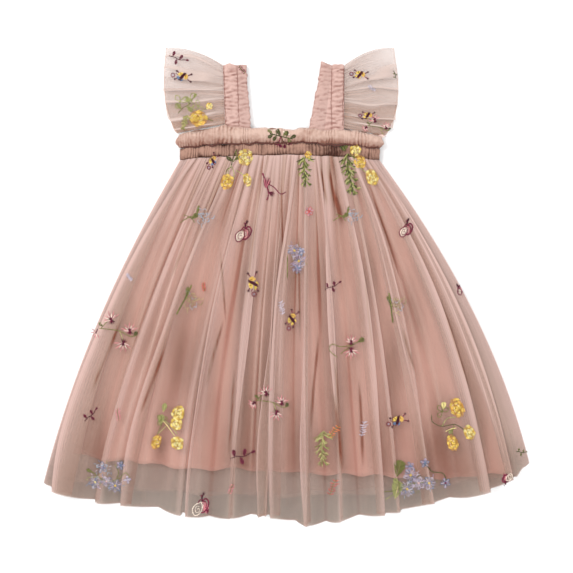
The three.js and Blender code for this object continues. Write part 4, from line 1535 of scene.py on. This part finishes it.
BACK_MOTIFS = [
    ("yellow_sprig", 60, -120, 20, 1.0, ""),
    ("trailing_sprig", -170, -90, -20, 1.0, ""),
    ("hem_bunch_right", 150, -190, 0, 0.9, ""),
    ("hem_bunch_left", -60, -200, 10, 1.0, ""),
    ("pink_sprig", -10, 20, 0, 1.0, ""),
    ("looped_sprig", 150, -40, -20, 1.0, ""),
    ("lilac_bunch", -70, -50, 10, 1.0, ""),
    ("waist_roses", 50, 90, 0, 0.9, ""),
    ("bee", -80, 80, 30, 1.0, "blue"),
    ("bee", 110, 40, 80, 1.0, ""),
    ("butterfly", -120, -170, -20, 1.0, ""),
    ("butterfly", 220, -130, 30, 0.8, ""),
    ("lilac_cloud", -120, 20, 40, 0.9, ""),
    ("red_sprig", 0, -80, 0, 0.9, ""),
    ("leaf_twig", 20, -170, 0, 1.0, "plum"),
    ("fern", -215, -160, 15, 0.9, "pale"),
]
LEFT_SLEEVE_MOTIFS = [
    ("bee", -121, 240, -10, 0.95, "blue"),
    ("leaf_twig", -127, 261, -40, 1.0, "plum"),
    ("loops", -122, 211, 0, 1.0, ""),
    ("loops", -110, 213, 40, 1.0, ""),
    ("loops", -101, 206, 80, 0.8, ""),
    ("leaf_twig", -116, 205, 20, 1.3, "pale"),
    ("single_rose", -90, 205, -60, 0.6, "pale"),
    ("single_rose", -97, 191, 80, 1.45, "deep"),
    ("fern", -117, 188, -30, 0.55, "pale"),
]
RIGHT_SLEEVE_MOTIFS = [
    ("bee", 83, 242, -5, 0.85, ""),
    ("red_sprig", 98, 226, 80, 0.5, "lilac"),
    ("bee", 92, 195, 0, 0.75, ""),
    ("pink_sprig", 106, 183, 0, 0.65, ""),
    ("leaf_twig", 125, 241, 80, 0.4, ""),
]
STRAP_MOTIFS = [
    ("red_sprig", -51, 247, 60, 0.55, "plum"),
]


def embroider(name, surfaces, motifs, seed, side=1, loft=FRONT_LOFT):
    needle = Needle(top_of(*surfaces), side, loft, seed)
    for kind, x, y, turn, size, tint in motifs:
        needle.at(x, y, math.radians(turn), size)
        MOTIFS[kind](needle, tint)
    return needle.piece(name)


embroider("embroidery_front", [skirt["net_front"], *band.values()], FRONT_MOTIFS, 41)
embroider("embroidery_back", [skirt["net_back"]], BACK_MOTIFS, 42, -1, 0.25)
embroider("embroidery_sleeve_left", [shoulders["sleeve_left"]], LEFT_SLEEVE_MOTIFS, 43)
embroider("embroidery_sleeve_right", [shoulders["sleeve_right"]], RIGHT_SLEEVE_MOTIFS, 44)
embroider("embroidery_strap", [shoulders["strap_left"]], STRAP_MOTIFS, 46)


# Floor, light and camera

MM_PER_PIXEL = 1.15
PHOTO_MM = 573 * MM_PER_PIXEL
PHOTO_CENTRE_Y = -MM_PER_PIXEL
CAMERA_HEIGHT = 3000.0
SENSOR = 36.0
FLOOR_REACH = 4.0
FLOOR_Z = -0.0002
WORLD_STRENGTH = 0.86
LIGHTS = (("key", (-1.5, 1.2, 1.9), 1.2, 48), ("fill", (1.6, -0.9, 2.4), 1.8, 22)) # place, size, power


def make_stage():
    floor_mesh = bpy.data.meshes.new("floor")
    corners = [(x * FLOOR_REACH, y * FLOOR_REACH, 0) for x, y in ((-1, -1), (1, -1), (1, 1), (-1, 1))]
    floor_mesh.from_pydata(corners, [], [(0, 1, 2, 3)])
    material, _, _, shader = new_material("floor_paint", 0.9, 0)
    shader.inputs["Base Color"].default_value = (0.97, 0.97, 0.97, 1)
    floor_mesh.materials.append(material)
    floor = bpy.data.objects.new("floor", floor_mesh)
    bpy.context.collection.objects.link(floor)
    floor.location.z = FLOOR_Z

    world = bpy.data.worlds.new("studio")
    world.use_nodes = True
    world.node_tree.nodes["Background"].inputs["Color"].default_value = (1, 1, 1, 1)
    world.node_tree.nodes["Background"].inputs["Strength"].default_value = WORLD_STRENGTH
    bpy.context.scene.world = world
    for name, place, size, power in LIGHTS:
        light = bpy.data.lights.new(name, "AREA")
        light.size = size
        light.energy = power
        lamp = bpy.data.objects.new(name, light)
        lamp.location = place
        lamp.rotation_euler = (Vector((0, 0, 0)) - Vector(place)).to_track_quat("-Z", "Y").to_euler()
        bpy.context.collection.objects.link(lamp)

    camera_data = bpy.data.cameras.new("camera")
    camera_data.sensor_width = SENSOR
    camera_data.lens = SENSOR * CAMERA_HEIGHT / PHOTO_MM
    camera_data.clip_end = 20
    camera = bpy.data.objects.new("camera", camera_data)
    camera.location = (0, PHOTO_CENTRE_Y * METRES, CAMERA_HEIGHT * METRES)
    bpy.context.collection.objects.link(camera)
    bpy.context.scene.camera = camera
    bpy.context.scene.view_settings.view_transform = "Standard"
    bpy.context.scene.cycles.transparent_max_bounces = 24


make_stage()
